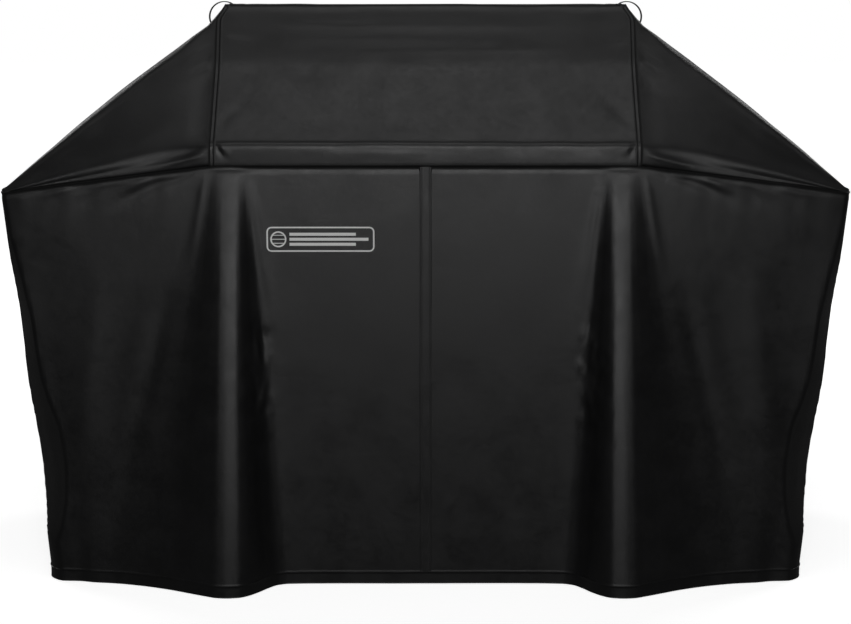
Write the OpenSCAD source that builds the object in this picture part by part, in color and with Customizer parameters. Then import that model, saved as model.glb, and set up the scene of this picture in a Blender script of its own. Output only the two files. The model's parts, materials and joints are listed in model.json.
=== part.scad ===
// Fitted cloth cover for a cart grill: a sloping hood box, wings over the two side shelves and a long skirt.
// Millimetres. The hem stands on z = 0, the front faces -Y, +X is the viewer's right, and x = 0 is the middle.
// Every left piece is modelled, and every right one is its mirror image.

/* [Overall] */
// Width over the two side shelves, at the shelf seam
cover_w = 1686; // [1500:2:1900]
// Width at the hem, where the sides hang inward
hem_w = 1556; // [1400:2:1850]
// Front-to-back depth at the waist seam
waist_d = 610; // [540:2:720]
// Height of the hood's top panel
cover_h = 1168; // [1090:2:1300]
// Height of the waist seam at the hood
waist_h = 857; // [780:1:900]
// Height of the seam at the outer ends of the wings
shelf_h = 808; // [740:1:830]
// Thickness of the closed solids that stand for cloth
cloth_t = 3; // [2:0.5:4]

/* [Hood] */
// Width of the hood box
hood_w = 852; // [760:2:960]
// How far the hood's top front edge stands behind the waist seam
hood_lean = 182; // [120:2:220]
// How far the hood's top rear edge stands in front of the rear waist seam
hood_rear_lean = 128; // [60:2:180]
// Height of the band between the brow fold and the waist seam
brow_h = 42; // [30:1:60]
// How far down the front the steeper upper part reaches
hood_crease_drop = 118; // [80:1:150]
// How far the steeper upper part comes forward
hood_crease_out = 56; // [30:1:80]
// Width taken off each top corner of the hood
corner_cut_w = 17; // [8:1:30]
// Height taken off each top corner of the hood
corner_cut_h = 27; // [12:1:40]

/* [Skirt] */
// How far the front corner ridges stand out at the hem
ridge_out = 85; // [40:1:120]
// How far the rear corner ridges stand out at the hem
rear_ridge_out = 45; // [20:1:90]
// Half the distance between the crests of two ridges at the hem
ridge_x = 410; // [370:1:450]
// Width of a ridge's inner flank at the hem
ridge_inner_w = 108; // [60:1:160]
// Width of a ridge's outer flank at the hem
ridge_outer_w = 165; // [100:1:220]
// How far the shelf's front and rear edges stand behind the waist seams
shelf_set = 14; // [0:1:40]
// Radius of the rounded corners at the hem
corner_r = 78; // [40:1:110]
// Height of the folded hem band
hem_h = 25; // [15:1:40]
// How far the felled centre seams stand off the skirt
seam_t = 1.2; // [0.8:0.1:2]
// Width of a felled centre seam
seam_w = 23; // [14:1:30]

/* [Side vents] */
// Height of the middle of a vent
vent_z = 566; // [480:1:640]
// Distance from the side's front corner to a vent's binding
vent_inset = 8; // [2:1:30]
// Length of a vent window, front to back
vent_len = 220; // [120:2:240]
// Height of a vent window
vent_h = 48; // [30:1:80]
// Width of the binding round a vent window
vent_binding_w = 10; // [6:0.5:16]
// Thickness of the binding and of the mesh
vent_t = 1.4; // [1:0.1:2]

/* [Straps and buckles] */
// Height of the middle of the straps
strap_z = 402; // [320:1:450]
// Width of the webbing
web_w = 25; // [20:1:30]
// Thickness of the webbing
web_t = 1.8; // [1.2:0.1:2.2]
// Distance from the side's rounded corners to the strap patches
strap_inset = 16; // [4:1:40]
// Side of the square patch that each strap is sewn down on
patch_w = 44; // [36:1:60]
// Thickness of the sewn patches
patch_t = 1.4; // [1:0.1:2]
// Thickness of the buckle
buckle_t = 11; // [9:0.5:14]
// Clearance between the buckle and the cloth under it
buckle_lift = 1.5; // [1:0.1:4]
// Length of the buckle's socket without its webbing bar
socket_len = 32; // [30:1:40]
// Wall of the moulded buckle parts
buckle_wall = 2; // [1.6:0.1:2.6]
// Radius of the webbing bars
bar_r = 1.9; // [1.5:0.1:2.2]
// Clearance between the plug and the socket
buckle_gap = 0.4; // [0.3:0.05:0.6]
// Clearance between the webbing and the bars that it wraps
web_gap = 0.25; // [0.2:0.05:0.5]
// Length of a latch arm
arm_len = 25; // [23:0.5:28]
// Radius of a latch arm's root
arm_root_r = 1.5; // [1.2:0.1:1.8]

/* [Hanging loops] */
// Width of the loop webbing
loop_w = 16; // [12:1:22]
// Thickness of the loop webbing
loop_t = 2; // [1.4:0.1:2.4]
// Height that a loop stands off the line between its sewn ends
loop_rise = 19; // [16:1:26]
// Distance between a loop's sewn ends and the hood's cut corner
loop_reach = 15; // [12:1:24]
// How far the loops stand behind the hood's top front edge
loop_back = 18; // [14:1:40]
// Clearance between a loop and the patches it is sewn to
loop_gap = 5.4; // [4.5:0.1:7]

/* [Badge] */
// Width of the printed badge
badge_w = 214; // [150:2:260]
// Height of the printed badge
badge_h = 50; // [36:1:70]
// Width of the badge's printed lines
badge_line = 3; // [2:0.5:5]
// Distance from the middle of the cover to the badge's middle
badge_x = 208; // [150:2:260]
// Height of the badge's middle
badge_z = 712; // [600:2:770]
// Thickness of the printed layer
badge_t = 0.6; // [0.4:0.1:1]

/* [Hidden] */
$fn = 32;

// ---------- Places that the pieces share ----------
overall_d = waist_d + ridge_out + rear_ridge_out;
front_y = -overall_d / 2 + ridge_out;      // waist seam at the front
rear_y = overall_d / 2 - rear_ridge_out;   // waist seam at the rear
hood_x = -hood_w / 2;
top_x = hood_x + corner_cut_w;
top_front_y = front_y + hood_lean;
top_rear_y = rear_y - hood_rear_lean;
shelf_x = -cover_w / 2;
hem_x = -hem_w / 2;
shelf_front_y = front_y + shelf_set;
shelf_rear_y = rear_y - shelf_set;
side_tilt = atan2(hem_x - shelf_x, shelf_h - hem_h);
function side_x(z) = hem_x - (z - hem_h) * tan(side_tilt);

// ---------- Left half of the skirt's outline, from the front centre round to the rear centre ----------
// A station is [its point on the upper seam, its point at the hem].
// The seam falls in a straight line from the hood's corner to the shelf's corner.
function along_wing(f, y_hood, y_shelf) =
    [hood_x + f * (shelf_x - hood_x), y_hood + f * (y_shelf - y_hood), waist_h + f * (shelf_h - waist_h)];
function at_hem(x, y) = [x, y, hem_h];
// Shares of a flank's width and of the ridge's reach at the stations beside its crest
seam_foot = 0.75;         // inner flank's foot on the upper seam
seam_knee = 0.25;         // inner flank's knee on the upper seam
knee = [0.4, 0.76];       // inner knee at the hem
outer_knee = [0.28, 0.84];
outer_foot_out = 0.22;
// Shares of the wing's seam at the stations under it
wing_stations = [0.1, 0.4, 0.8];
// One end of the outline: out is the ridge's reach, and s is -1 at the front and 1 at the rear.
function end_stations(y_hood, y_shelf, out, s) = [
    [[0, y_hood, waist_h], at_hem(0, y_hood)],
    [[hood_x + ridge_inner_w * seam_foot, y_hood, waist_h], at_hem(ridge_inner_w - ridge_x, y_hood)],
    [[hood_x + ridge_inner_w * seam_knee, y_hood, waist_h],
        at_hem(ridge_inner_w * knee[0] - ridge_x, y_hood + s * out * knee[1])],
    [along_wing(0, y_hood, y_shelf), at_hem(-ridge_x, y_hood + s * out)],
    [along_wing(wing_stations[0], y_hood, y_shelf),
        at_hem(-ridge_x - ridge_outer_w * outer_knee[0], y_hood + s * out * outer_knee[1])],
    [along_wing(wing_stations[1], y_hood, y_shelf),
        at_hem(-ridge_x - ridge_outer_w, y_hood + s * out * outer_foot_out)],
    [along_wing(wing_stations[2], y_hood, y_shelf), at_hem(hem_x + corner_r, y_hood - s * shelf_set)],
    [along_wing(1, y_hood, y_shelf),
        at_hem(hem_x + corner_r * (1 - cos(45)), y_hood - s * (shelf_set + corner_r * (1 - sin(45))))]
];
front_end = end_stations(front_y, shelf_front_y, ridge_out, -1);
rear_end = end_stations(rear_y, shelf_rear_y, rear_ridge_out, 1);
side_front_y = shelf_front_y + corner_r;
side_rear_y = shelf_rear_y - corner_r;
side_stations = [for (y = [side_front_y, 0, side_rear_y]) [[shelf_x, y, shelf_h], at_hem(hem_x, y)]];
CORNER = len(front_end) - 1;                      // the shelf's front corner
REAR_CORNER = CORNER + len(side_stations) + 1;    // the shelf's rear corner
STATIONS = concat(front_end, side_stations, [for (i = [CORNER:-1:0]) rear_end[i]]);
LAST = len(STATIONS) - 1;
HOOD = 3;                                         // the hood's front corner
REAR_HOOD = LAST - HOOD;                          // the hood's rear corner
SEAM = 0;                                         // a station's point on the upper seam
HEM = 1;                                          // a station's point at the hem

// Plan direction from an outline point to the inside, at its mitre, in cloth thicknesses
function plan(i, level) = [STATIONS[i][level][0], STATIONS[i][level][1]];
function turned_in(d) = [d[1], -d[0]] / norm(d);
function mitre(a, b) = (a + b) / (1 + a * b);
function inward(i, level) =
    i == 0 ? [0, 1] : i == LAST ? [0, -1] :
    mitre(turned_in(plan(i, level) - plan(i - 1, level)), turned_in(plan(i + 1, level) - plan(i, level)));

// ---------- Corners of the cloth, each as [outer point, inner point] ----------
function corner(p, x, y, z) = [p, p + cloth_t * [x, y, z]];
function station(i, level) = let(v = inward(i, level)) corner(STATIONS[i][level], v[0], v[1], 0);
function between(a, b, f) = [a[0] + f * (b[0] - a[0]), a[1] + f * (b[1] - a[1])];
function across(c) = [for (p = c) [-p[0], p[1], p[2]]];
top_front = corner([top_x, top_front_y, cover_h], 0.6, 1, -1);
top_rear = corner([top_x, top_rear_y, cover_h], 0.6, -1, -1);
cut_front = corner([hood_x, top_front_y - corner_cut_h * hood_crease_out / hood_crease_drop,
    cover_h - corner_cut_h], 1, 1, -0.5);
cut_rear = corner([hood_x, top_rear_y + corner_cut_h * hood_rear_lean / (cover_h - waist_h),
    cover_h - corner_cut_h], 1, -1, -0.5);
crease = corner([hood_x, top_front_y - hood_crease_out, cover_h - hood_crease_drop], 0.9, 1, -0.5);
brow = corner([hood_x, front_y, waist_h + brow_h], 0.9, 1, -0.4);

// ---------- Cloth ----------
cloth_colour = "#202022";
band_colour = "#2b2b2e";
web_colour = "#141415";
moulded_colour = "#0f0f10";
mesh_colour = "#6f7072";
print_colour = "#d9d9d6";

// Where two pieces of cloth meet, both split the wall between them on the same diagonal.
function lower(a, b) =
    a[2] != b[2] ? a[2] < b[2] :
    abs(a[0]) != abs(b[0]) ? abs(a[0]) < abs(b[0]) : a[1] < b[1];
function wall(a, b, n, first) =
    first ? [[b, a, b + n], [a, a + n, b + n]] : [[b, a, a + n], [b, a + n, b + n]];
function backwards(face) = [for (k = [len(face) - 1:-1:0]) face[k]];

// A closed solid of one piece of cloth. Each face lists its corners counter-clockwise as seen from outside.
module cloth(corners, faces) {
    n = len(corners);
    edges = [for (f = faces) for (k = [0:len(f) - 1]) [f[k], f[(k + 1) % len(f)]]];
    rim = [for (e = edges) if (len([for (o = edges) if (o[0] == e[1] && o[1] == e[0]) o]) == 0) e];
    walls = [for (e = rim) each wall(e[0], e[1], n, lower(corners[e[0]][0], corners[e[1]][0]))];
    inside = [for (f = faces) [for (k = backwards(f)) k + n]];
    polyhedron([for (side = [0, 1]) for (c = corners) c[side]],
        [for (f = concat(faces, inside, walls)) backwards(f)]);
}

// Left pieces are drawn as they are, and right ones as their mirror image.
LEFT = -1;
RIGHT = 1;
module on(side) {
    if (side == LEFT) children();
    else mirror([1, 0, 0]) children();
}

// The skirt between two stations, from the upper seam to the hem band
skirt_rows = 4;
module skirt(from, to) {
    down = skirt_rows + 1;
    corners = [for (i = [from:to]) for (r = [0:skirt_rows])
        between(station(i, SEAM), station(i, HEM), r / skirt_rows)];
    faces = [for (i = [0:to - from - 1]) for (r = [0:skirt_rows - 1])
        let(tr = i * down + r, br = tr + 1, tl = tr + down, bl = tl + 1) each [[bl, br, tr], [bl, tr, tl]]];
    cloth(corners, faces);
}

// A front or rear face of the hood. corners run down its left edge, and seam holds the stations from its
// left bottom corner to the middle.
module hood_face(corners, seam, rear) {
    m = len(corners);
    n = len(seam);
    bottom = [for (i = seam) station(i, SEAM)];
    all = concat(corners, [for (c = corners) across(c)], bottom, [for (k = [0:n - 2]) across(bottom[k])]);
    function left(k) = 2 * m + k;
    function right(k) = k == n - 1 ? left(k) : 2 * m + n + k;
    faces = concat(
        [for (k = [0:m - 2]) [k + 1, m + k + 1, m + k, k]],
        [for (k = [0:n - 2]) each [[left(k), left(k + 1), m - 1], [right(k + 1), right(k), 2 * m - 1]]],
        [[left(n - 1), 2 * m - 1, m - 1]]
    );
    cloth(all, rear ? [for (f = faces) backwards(f)] : faces);
}

module hood_top_panel() {
    color(cloth_colour) cloth([top_front, across(top_front), across(top_rear), top_rear], [[0, 1, 2, 3]]);
}

module hood_front_panel() {
    color(cloth_colour) hood_face([top_front, cut_front, crease, brow], [for (i = [HOOD:-1:0]) i], false);
}

module hood_rear_panel() {
    color(cloth_colour) hood_face([top_rear, cut_rear], [for (i = [REAR_HOOD:LAST]) i], true);
}

module wing_top_panel(side) {
    edge = [for (i = [CORNER:REAR_CORNER]) station(i, SEAM)];
    middle = 4 + 2;
    rear = 4 + len(edge) - 1;
    on(side) color(cloth_colour) cloth(concat([cut_front, top_front, top_rear, cut_rear], edge), concat(
        [[0, 1, 2, 3]],
        [for (k = [4:middle - 1]) [k, 0, k + 1]],
        [[middle, 0, 3]],
        [for (k = [middle:rear - 1]) [k, 3, k + 1]]
    ));
}

module wing_front_panel(side) {
    seam = [for (i = [HOOD:CORNER]) station(i, SEAM)];
    outer = 3 + len(seam) - 1;
    on(side) color(cloth_colour) cloth(concat([cut_front, crease, brow], seam), concat(
        [for (k = [3:outer - 1]) [k + 1, k, 2]],
        [[outer, 2, 1], [outer, 1, 0]]
    ));
}

module wing_rear_panel(side) {
    seam = [for (i = [REAR_CORNER:REAR_HOOD]) station(i, SEAM)];
    on(side) color(cloth_colour) cloth(concat([cut_rear], seam), [for (k = [1:len(seam) - 1]) [k + 1, k, 0]]);
}

module front_skirt(side) {
    on(side) color(cloth_colour) skirt(0, CORNER);
}

module rear_skirt(side) {
    on(side) color(cloth_colour) skirt(REAR_CORNER, LAST);
}

// A flat-felled seam: a doubled strip that stands off the cloth
module centre_seam(y, out) {
    color(band_colour) translate([-seam_w / 2, out < 0 ? y - seam_t : y, hem_h])
        cube([seam_w, seam_t, waist_h - hem_h]);
}

// The folded band along the hem between two stations, whose lower face rests on the ground
module hem(outline) {
    color(band_colour) linear_extrude(hem_h) polygon([for (p = outline) [p[0], p[1]]]);
}
function hem_line(from, to) = [for (i = [from:to]) station(i, HEM)];
function band(line) = concat([for (c = line) c[0]], backwards([for (c = line) c[1]]));
function both_halves(line) = concat([for (c = backwards(line)) c[0]], [for (c = line) across(c)[0]],
    [for (c = backwards(line)) across(c)[1]], [for (c = line) c[1]]);

// ---------- Side pieces, in the plane of the side panel: X forward, Y up, Z outward ----------
module on_panel(side, y, z) {
    on(side) multmatrix([
        [0, -sin(side_tilt), -cos(side_tilt), side_x(z)],
        [-1, 0, 0, y],
        [0, cos(side_tilt), -sin(side_tilt), z]
    ]) children();
}
module block(from, to) {
    translate(from) cube(to - from);
}
vent_y = side_front_y + vent_inset + vent_binding_w + vent_len / 2;
module vent_window(grow, low, high) {
    block([-vent_len / 2 - grow, -vent_h / 2 - grow, low], [vent_len / 2 + grow, vent_h / 2 + grow, high]);
}

module side_skirt(side) {
    color(cloth_colour) difference() {
        on(side) skirt(CORNER, REAR_CORNER);
        on_panel(side, vent_y, vent_z) vent_window(0, -4 * cloth_t, cloth_t);
    }
}

module vent_mesh(side) {
    color(mesh_colour) on_panel(side, vent_y, vent_z)
        vent_window(0, -(cloth_t + vent_t) / 2, (vent_t - cloth_t) / 2);
}

module vent_binding(side) {
    color(band_colour) on_panel(side, vent_y, vent_z) difference() {
        vent_window(vent_binding_w, 0, vent_t);
        vent_window(0, -1, vent_t + 1);
    }
}

// ---------- Straps and buckles. The buckle's mouth is at X = 0, and the plug leaves to -X ----------
rail_w = 3.8;                                    // width of the rails beside the webbing bars
buckle_w = web_w + 2 * rail_w + 1.4;
buckle_mid = buckle_lift + buckle_t / 2;
cavity_half_w = web_w / 2 + 1;
cavity_half_t = buckle_t / 2 - buckle_wall;
cavity_len = arm_len + 1.5;
wrap_r = bar_r + web_gap + web_t / 2;            // to the middle of webbing that goes round a bar
bar_out = bar_r + web_gap + web_t + 1;           // from a moulded face to the bar beside it
base_len = 14;                                   // plug's body between its mouth face and its bars
socket_bar_x = socket_len + bar_out;
plug_bar_x = -base_len - bar_out;
ladder_bar_x = plug_bar_x - 2 * bar_r - 2 * web_t - web_gap * 2 - 1;
rail_over = bar_r + 1.6;                         // from a bar's axis to the ends of the rails
rail_half_t = bar_r + 0.8;
sewn_z = patch_t + web_t / 2;                    // middle of webbing that is sewn on a patch
front_patch_x = -side_front_y - strap_inset - patch_w / 2;
rear_patch_x = -side_rear_y + strap_inset + patch_w / 2;
strap_end = patch_w / 2 - 4;                     // strap's end past a patch's middle
strap_ramp = 16;                                 // length over which the webbing rises to a bar
tail_len = 62;                                   // free end of the webbing past the ladder bar
tail_drop = 1;                                   // how far the free end sags

// A flat ribbon of webbing whose middle follows points in X and Z
module webbing(path) {
    for (k = [0:len(path) - 2]) {
        a = path[k];
        b = path[k + 1];
        side = [a[1] - b[1], b[0] - a[0]] / norm(b - a) * web_t / 2;
        polygon([a - side, b - side, b + side, a + side]);
    }
    for (k = [1:len(path) - 2]) translate(path[k]) circle(web_t / 2);
}
module upright(width) {
    translate([0, width / 2, 0]) rotate([90, 0, 0]) linear_extrude(width) children();
}
module wrap(x) {
    translate([x, buckle_mid]) difference() {
        circle(wrap_r + web_t / 2);
        circle(wrap_r - web_t / 2);
    }
}
module bar(x) {
    translate([x, buckle_w / 2 - 1, buckle_mid]) rotate([90, 0, 0]) cylinder(r = bar_r, h = buckle_w - 2);
}
module rails(from, to) {
    for (s = [-1, 1]) {
        y = s * (buckle_w - rail_w) / 2;
        block([from, y - rail_w / 2, buckle_mid - rail_half_t], [to, y + rail_w / 2, buckle_mid + rail_half_t]);
    }
}
// A moulded block with rounded corners in its plane
module moulding(from, to, half_w, r) {
    linear_extrude(buckle_t) {
        translate([from + r, -half_w]) square([to - from - 2 * r, 2 * half_w]);
        translate([from, r - half_w]) square([to - from, 2 * (half_w - r)]);
        for (x = [from + r, to - r]) for (y = [r - half_w, half_w - r]) translate([x, y]) circle(r);
    }
}

module front_strap(side) {
    color(web_colour) on_panel(side, 0, strap_z) upright(web_w) {
        webbing([[front_patch_x + strap_end, sewn_z], [socket_bar_x + strap_ramp, sewn_z],
            [socket_bar_x, buckle_mid - wrap_r]]);
        wrap(socket_bar_x);
    }
}

module rear_strap(side) {
    color(web_colour) on_panel(side, 0, strap_z) upright(web_w) {
        webbing([[rear_patch_x - strap_end, sewn_z], [ladder_bar_x - strap_ramp, sewn_z],
            [ladder_bar_x, buckle_mid - wrap_r], [plug_bar_x, buckle_mid - wrap_r]]);
        webbing([[plug_bar_x, buckle_mid + wrap_r], [ladder_bar_x, buckle_mid + wrap_r],
            [ladder_bar_x - tail_len, buckle_mid + wrap_r - tail_drop]]);
        difference() {
            wrap(plug_bar_x);
            translate([plug_bar_x - 2 * wrap_r, 0]) square([2 * wrap_r, 4 * buckle_mid]);
        }
    }
}

module strap_patch(side, x) {
    color(web_colour) on_panel(side, 0, strap_z)
        block([x - patch_w / 2, -patch_w / 2, 0], [x + patch_w / 2, patch_w / 2, patch_t]);
}

// The window in each edge of the socket that a latch arm springs out through
window_from = 12;
window_to = arm_len - 0.5;
socket_corner_r = 4;
plug_corner_r = 3;
module buckle_socket(side) {
    color(moulded_colour) on_panel(side, 0, strap_z) {
        difference() {
            translate([0, 0, buckle_lift]) moulding(0, socket_len, buckle_w / 2, socket_corner_r);
            block([-1, -cavity_half_w, buckle_mid - cavity_half_t],
                [cavity_len, cavity_half_w, buckle_mid + cavity_half_t]);
            block([window_from, -buckle_w, buckle_mid - cavity_half_t],
                [window_to, buckle_w, buckle_mid + cavity_half_t]);
        }
        rails(socket_len - 1, socket_bar_x + rail_over);
        bar(socket_bar_x);
    }
}

arm_root_x = -arm_root_r - 1.8;
arm_y = 9.5;                                     // from the plug's middle line to an arm's root
arm_half_t = cavity_half_t - buckle_gap;
arm_beam = 2.4;                                  // width of an arm along its springy part
tongue_half_w = 3;
pocket_wall = 1.6;                               // how far an arm's pocket is cut past its root
module buckle_plug(side) {
    pocket = arm_root_r + buckle_gap;
    color(moulded_colour) on_panel(side, 0, strap_z) {
        difference() {
            translate([0, 0, buckle_lift]) moulding(-base_len, -buckle_gap, buckle_w / 2 - 0.5, plug_corner_r);
            for (s = [-1, 1]) translate([arm_root_x, s * arm_y, buckle_mid - cavity_half_t]) {
                cylinder(r = pocket, h = 2 * cavity_half_t);
                translate([0, s > 0 ? -pocket - pocket_wall : -pocket, 0])
                    cube([base_len, 2 * pocket + pocket_wall, 2 * cavity_half_t]);
            }
        }
        block([-2, -tongue_half_w, buckle_mid - arm_half_t],
            [cavity_len - 6, tongue_half_w, buckle_mid + arm_half_t]);
        rails(ladder_bar_x - rail_over, 1 - base_len);
        bar(plug_bar_x);
        bar(ladder_bar_x);
    }
}

// A springy arm of the plug, with a thumb pad that catches in the socket's window
module latch_arm(side, up) {
    shoulder = cavity_half_w + 1.9;
    pad = buckle_w / 2 - 0.4;
    color(moulded_colour) on_panel(side, 0, strap_z) mirror([0, up < 0 ? 1 : 0, 0])
        translate([0, arm_y, buckle_mid - arm_half_t]) linear_extrude(2 * arm_half_t) {
            translate([arm_root_x, 0]) circle(arm_root_r);
            polygon([
                [arm_root_x, -arm_beam / 2], [arm_len - 6, -arm_beam / 2], [arm_len, -0.4],
                [arm_len, cavity_half_w - arm_y - 2.2], [arm_len - 2.6, pad - arm_y - 2.6],
                [arm_len - 5, pad - arm_y], [window_from + 1, shoulder - arm_y],
                [window_from + 1, arm_beam / 2], [arm_root_x, arm_beam / 2]
            ]);
        }
}

// ---------- Hanging loops over the hood's cut top corners, in X and Z ----------
wing_slope = atan2(cover_h - corner_cut_h - shelf_h, hood_x - shelf_x);
loop_y = top_front_y + loop_back;
loop_top = [top_x + loop_reach, cover_h];
loop_low = [hood_x - loop_reach * cos(wing_slope), cover_h - corner_cut_h - loop_reach * sin(wing_slope)];
chord = norm(loop_top - loop_low);
chord_angle = atan2(loop_top[1] - loop_low[1], loop_top[0] - loop_low[0]);
loop_arc_r = (chord * chord / 4 + loop_rise * loop_rise) / (2 * loop_rise);
patch_len = 14;
patch_edge = 3;                                  // how far a loop's patch shows on each side of it

// An arch of webbing whose chord is the line that it swings about
module hanging_loop(side) {
    color(web_colour) on(side) translate([loop_low[0], loop_y, loop_low[1]]) rotate([0, -chord_angle, 0])
        translate([chord / 2, 0, loop_gap]) upright(loop_w) difference() {
            translate([0, loop_rise - loop_arc_r]) circle(loop_arc_r + loop_t / 2);
            translate([0, loop_rise - loop_arc_r]) circle(loop_arc_r - loop_t / 2);
            translate([-chord, -4 * chord]) square([2 * chord, 4 * chord]);
        }
}

module loop_patches(side) {
    color(web_colour) on(side) {
        translate([loop_top[0] - patch_len / 2, loop_y - loop_w / 2 - patch_edge, cover_h])
            cube([patch_len, loop_w + 2 * patch_edge, patch_t]);
        translate([loop_low[0], loop_y - loop_w / 2 - patch_edge, loop_low[1]]) rotate([0, -wing_slope, 0])
            translate([-patch_len / 2, 0, 0]) cube([patch_len, loop_w + 2 * patch_edge, patch_t]);
    }
}

// ---------- Printed badge: a rounded outline, a round grate and three plain bars ----------
module rounded(w, h, r) {
    square([w - 2 * r, h], center = true);
    square([w, h - 2 * r], center = true);
    for (x = [-1, 1]) for (y = [-1, 1]) translate([x * (w / 2 - r), y * (h / 2 - r)]) circle(r);
}
module front_badge() {
    corner = badge_h / 5;
    grate_r = badge_h * 0.32;
    grate_x = grate_r + badge_line * 2.5 - badge_w / 2;
    bars_x = grate_x + grate_r + badge_line * 2;
    color(print_colour) translate([-badge_x, front_y, badge_z]) rotate([90, 0, 0]) linear_extrude(badge_t) {
        difference() {
            rounded(badge_w, badge_h, corner);
            rounded(badge_w - 2 * badge_line, badge_h - 2 * badge_line, corner - badge_line);
        }
        translate([grate_x, 0]) {
            difference() {
                circle(grate_r);
                circle(grate_r - badge_line);
            }
            for (y = [-1:1]) translate([0, y * grate_r / 2])
                square([grate_r * 1.7, badge_line / 2], center = true);
        }
        for (k = [-1:1]) translate([bars_x, k * badge_h / 5 - badge_line])
            square([badge_w / 2 - bars_x - badge_line * 4 - abs(k) * badge_h / 2, 2 * badge_line]);
    }
}

hood_top_panel();
hood_front_panel();
hood_rear_panel();
wing_top_panel(LEFT);  // left_wing_top_panel
wing_front_panel(LEFT);  // left_wing_front_panel
wing_rear_panel(LEFT);  // left_wing_rear_panel
wing_top_panel(RIGHT);  // right_wing_top_panel
wing_front_panel(RIGHT);  // right_wing_front_panel
wing_rear_panel(RIGHT);  // right_wing_rear_panel
front_skirt(LEFT);  // front_skirt_left
front_skirt(RIGHT);  // front_skirt_right
centre_seam(front_y, -1);  // front_centre_seam
rear_skirt(LEFT);  // rear_skirt_left
rear_skirt(RIGHT);  // rear_skirt_right
centre_seam(rear_y, 1);  // rear_centre_seam
side_skirt(LEFT);  // left_side_skirt
side_skirt(RIGHT);  // right_side_skirt
hem(both_halves(hem_line(0, CORNER)));  // front_hem
hem(both_halves(backwards(hem_line(REAR_CORNER, LAST))));  // rear_hem
hem(band(hem_line(CORNER, REAR_CORNER)));  // left_hem
on(RIGHT) hem(band(hem_line(CORNER, REAR_CORNER)));  // right_hem
vent_mesh(LEFT);  // left_vent_mesh
vent_binding(LEFT);  // left_vent_binding
vent_mesh(RIGHT);  // right_vent_mesh
vent_binding(RIGHT);  // right_vent_binding
front_strap(LEFT);  // left_front_strap
rear_strap(LEFT);  // left_rear_strap
front_strap(RIGHT);  // right_front_strap
rear_strap(RIGHT);  // right_rear_strap
strap_patch(LEFT, front_patch_x);  // left_front_strap_patch
strap_patch(LEFT, rear_patch_x);  // left_rear_strap_patch
strap_patch(RIGHT, front_patch_x);  // right_front_strap_patch
strap_patch(RIGHT, rear_patch_x);  // right_rear_strap_patch
buckle_socket(LEFT);  // left_buckle_socket
buckle_plug(LEFT);  // left_buckle_plug
latch_arm(LEFT, 1);  // left_latch_arm_upper
latch_arm(LEFT, -1);  // left_latch_arm_lower
buckle_socket(RIGHT);  // right_buckle_socket
buckle_plug(RIGHT);  // right_buckle_plug
latch_arm(RIGHT, 1);  // right_latch_arm_upper
latch_arm(RIGHT, -1);  // right_latch_arm_lower
hanging_loop(LEFT);  // left_hanging_loop
loop_patches(LEFT);  // left_loop_patches
hanging_loop(RIGHT);  // right_hanging_loop
loop_patches(RIGHT);  // right_loop_patches
front_badge();
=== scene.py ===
"""A fitted cloth cover for a cart grill: sheets of coated cloth, felled seams, vents, webbing and buckles.

Every piece is made in metres in the shared frame: the hem stands on z = 0, the front faces -Y and +X is the
viewer's right. Left pieces are worked out first, and right ones are their mirror image with folds
of their own.
"""

from __future__ import annotations

import json
import logging
import math
from dataclasses import dataclass, field
from enum import Enum
from typing import Sequence

import bmesh
import bpy
import numpy as np
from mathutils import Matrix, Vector
from mathutils.bvhtree import BVHTree

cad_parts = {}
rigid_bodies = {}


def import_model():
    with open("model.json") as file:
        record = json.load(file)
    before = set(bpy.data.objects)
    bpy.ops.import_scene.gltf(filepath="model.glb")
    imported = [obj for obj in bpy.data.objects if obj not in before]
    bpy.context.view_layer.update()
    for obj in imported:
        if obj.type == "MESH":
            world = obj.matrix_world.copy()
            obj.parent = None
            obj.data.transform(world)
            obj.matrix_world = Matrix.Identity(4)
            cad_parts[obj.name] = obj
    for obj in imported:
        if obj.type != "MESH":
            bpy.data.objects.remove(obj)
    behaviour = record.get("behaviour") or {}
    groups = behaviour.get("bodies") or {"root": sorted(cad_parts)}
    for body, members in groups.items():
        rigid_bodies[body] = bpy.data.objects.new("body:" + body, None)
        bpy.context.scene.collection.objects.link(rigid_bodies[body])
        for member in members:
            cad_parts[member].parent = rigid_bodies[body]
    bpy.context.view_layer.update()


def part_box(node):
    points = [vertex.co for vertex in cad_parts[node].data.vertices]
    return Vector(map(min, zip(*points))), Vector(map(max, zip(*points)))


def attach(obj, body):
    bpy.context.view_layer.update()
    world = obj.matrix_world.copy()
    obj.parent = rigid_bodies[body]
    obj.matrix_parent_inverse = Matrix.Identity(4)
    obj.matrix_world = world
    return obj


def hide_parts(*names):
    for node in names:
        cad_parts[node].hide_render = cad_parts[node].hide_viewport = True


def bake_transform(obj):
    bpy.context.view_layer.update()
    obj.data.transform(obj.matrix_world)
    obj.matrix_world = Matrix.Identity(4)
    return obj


LOG = logging.getLogger("grill_cover")
MM = 0.001


class Side(Enum):
    """Which half of the cover a piece is on; the value is the sign of its x."""

    LEFT = -1
    RIGHT = 1

    @property
    def label(self) -> str:
        """The word that piece names start with."""
        return self.name.lower()


class End(Enum):
    """The front or the rear of the cover; the value is the sign of its y."""

    FRONT = -1
    REAR = 1


# ---------------------------------------------------------------- numbers along curves and over surfaces
def smooth(low: float, high: float, x: np.ndarray) -> np.ndarray:
    """A smooth step from 0 at low to 1 at high."""
    t = np.clip((x - low) / (high - low), 0, 1)
    return t * t * (3 - 2 * t)


def hill(x: np.ndarray, middle: float, width: float) -> np.ndarray:
    """A bell curve of height 1 at middle."""
    return np.exp(-(((x - middle) / width) ** 2))


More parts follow.
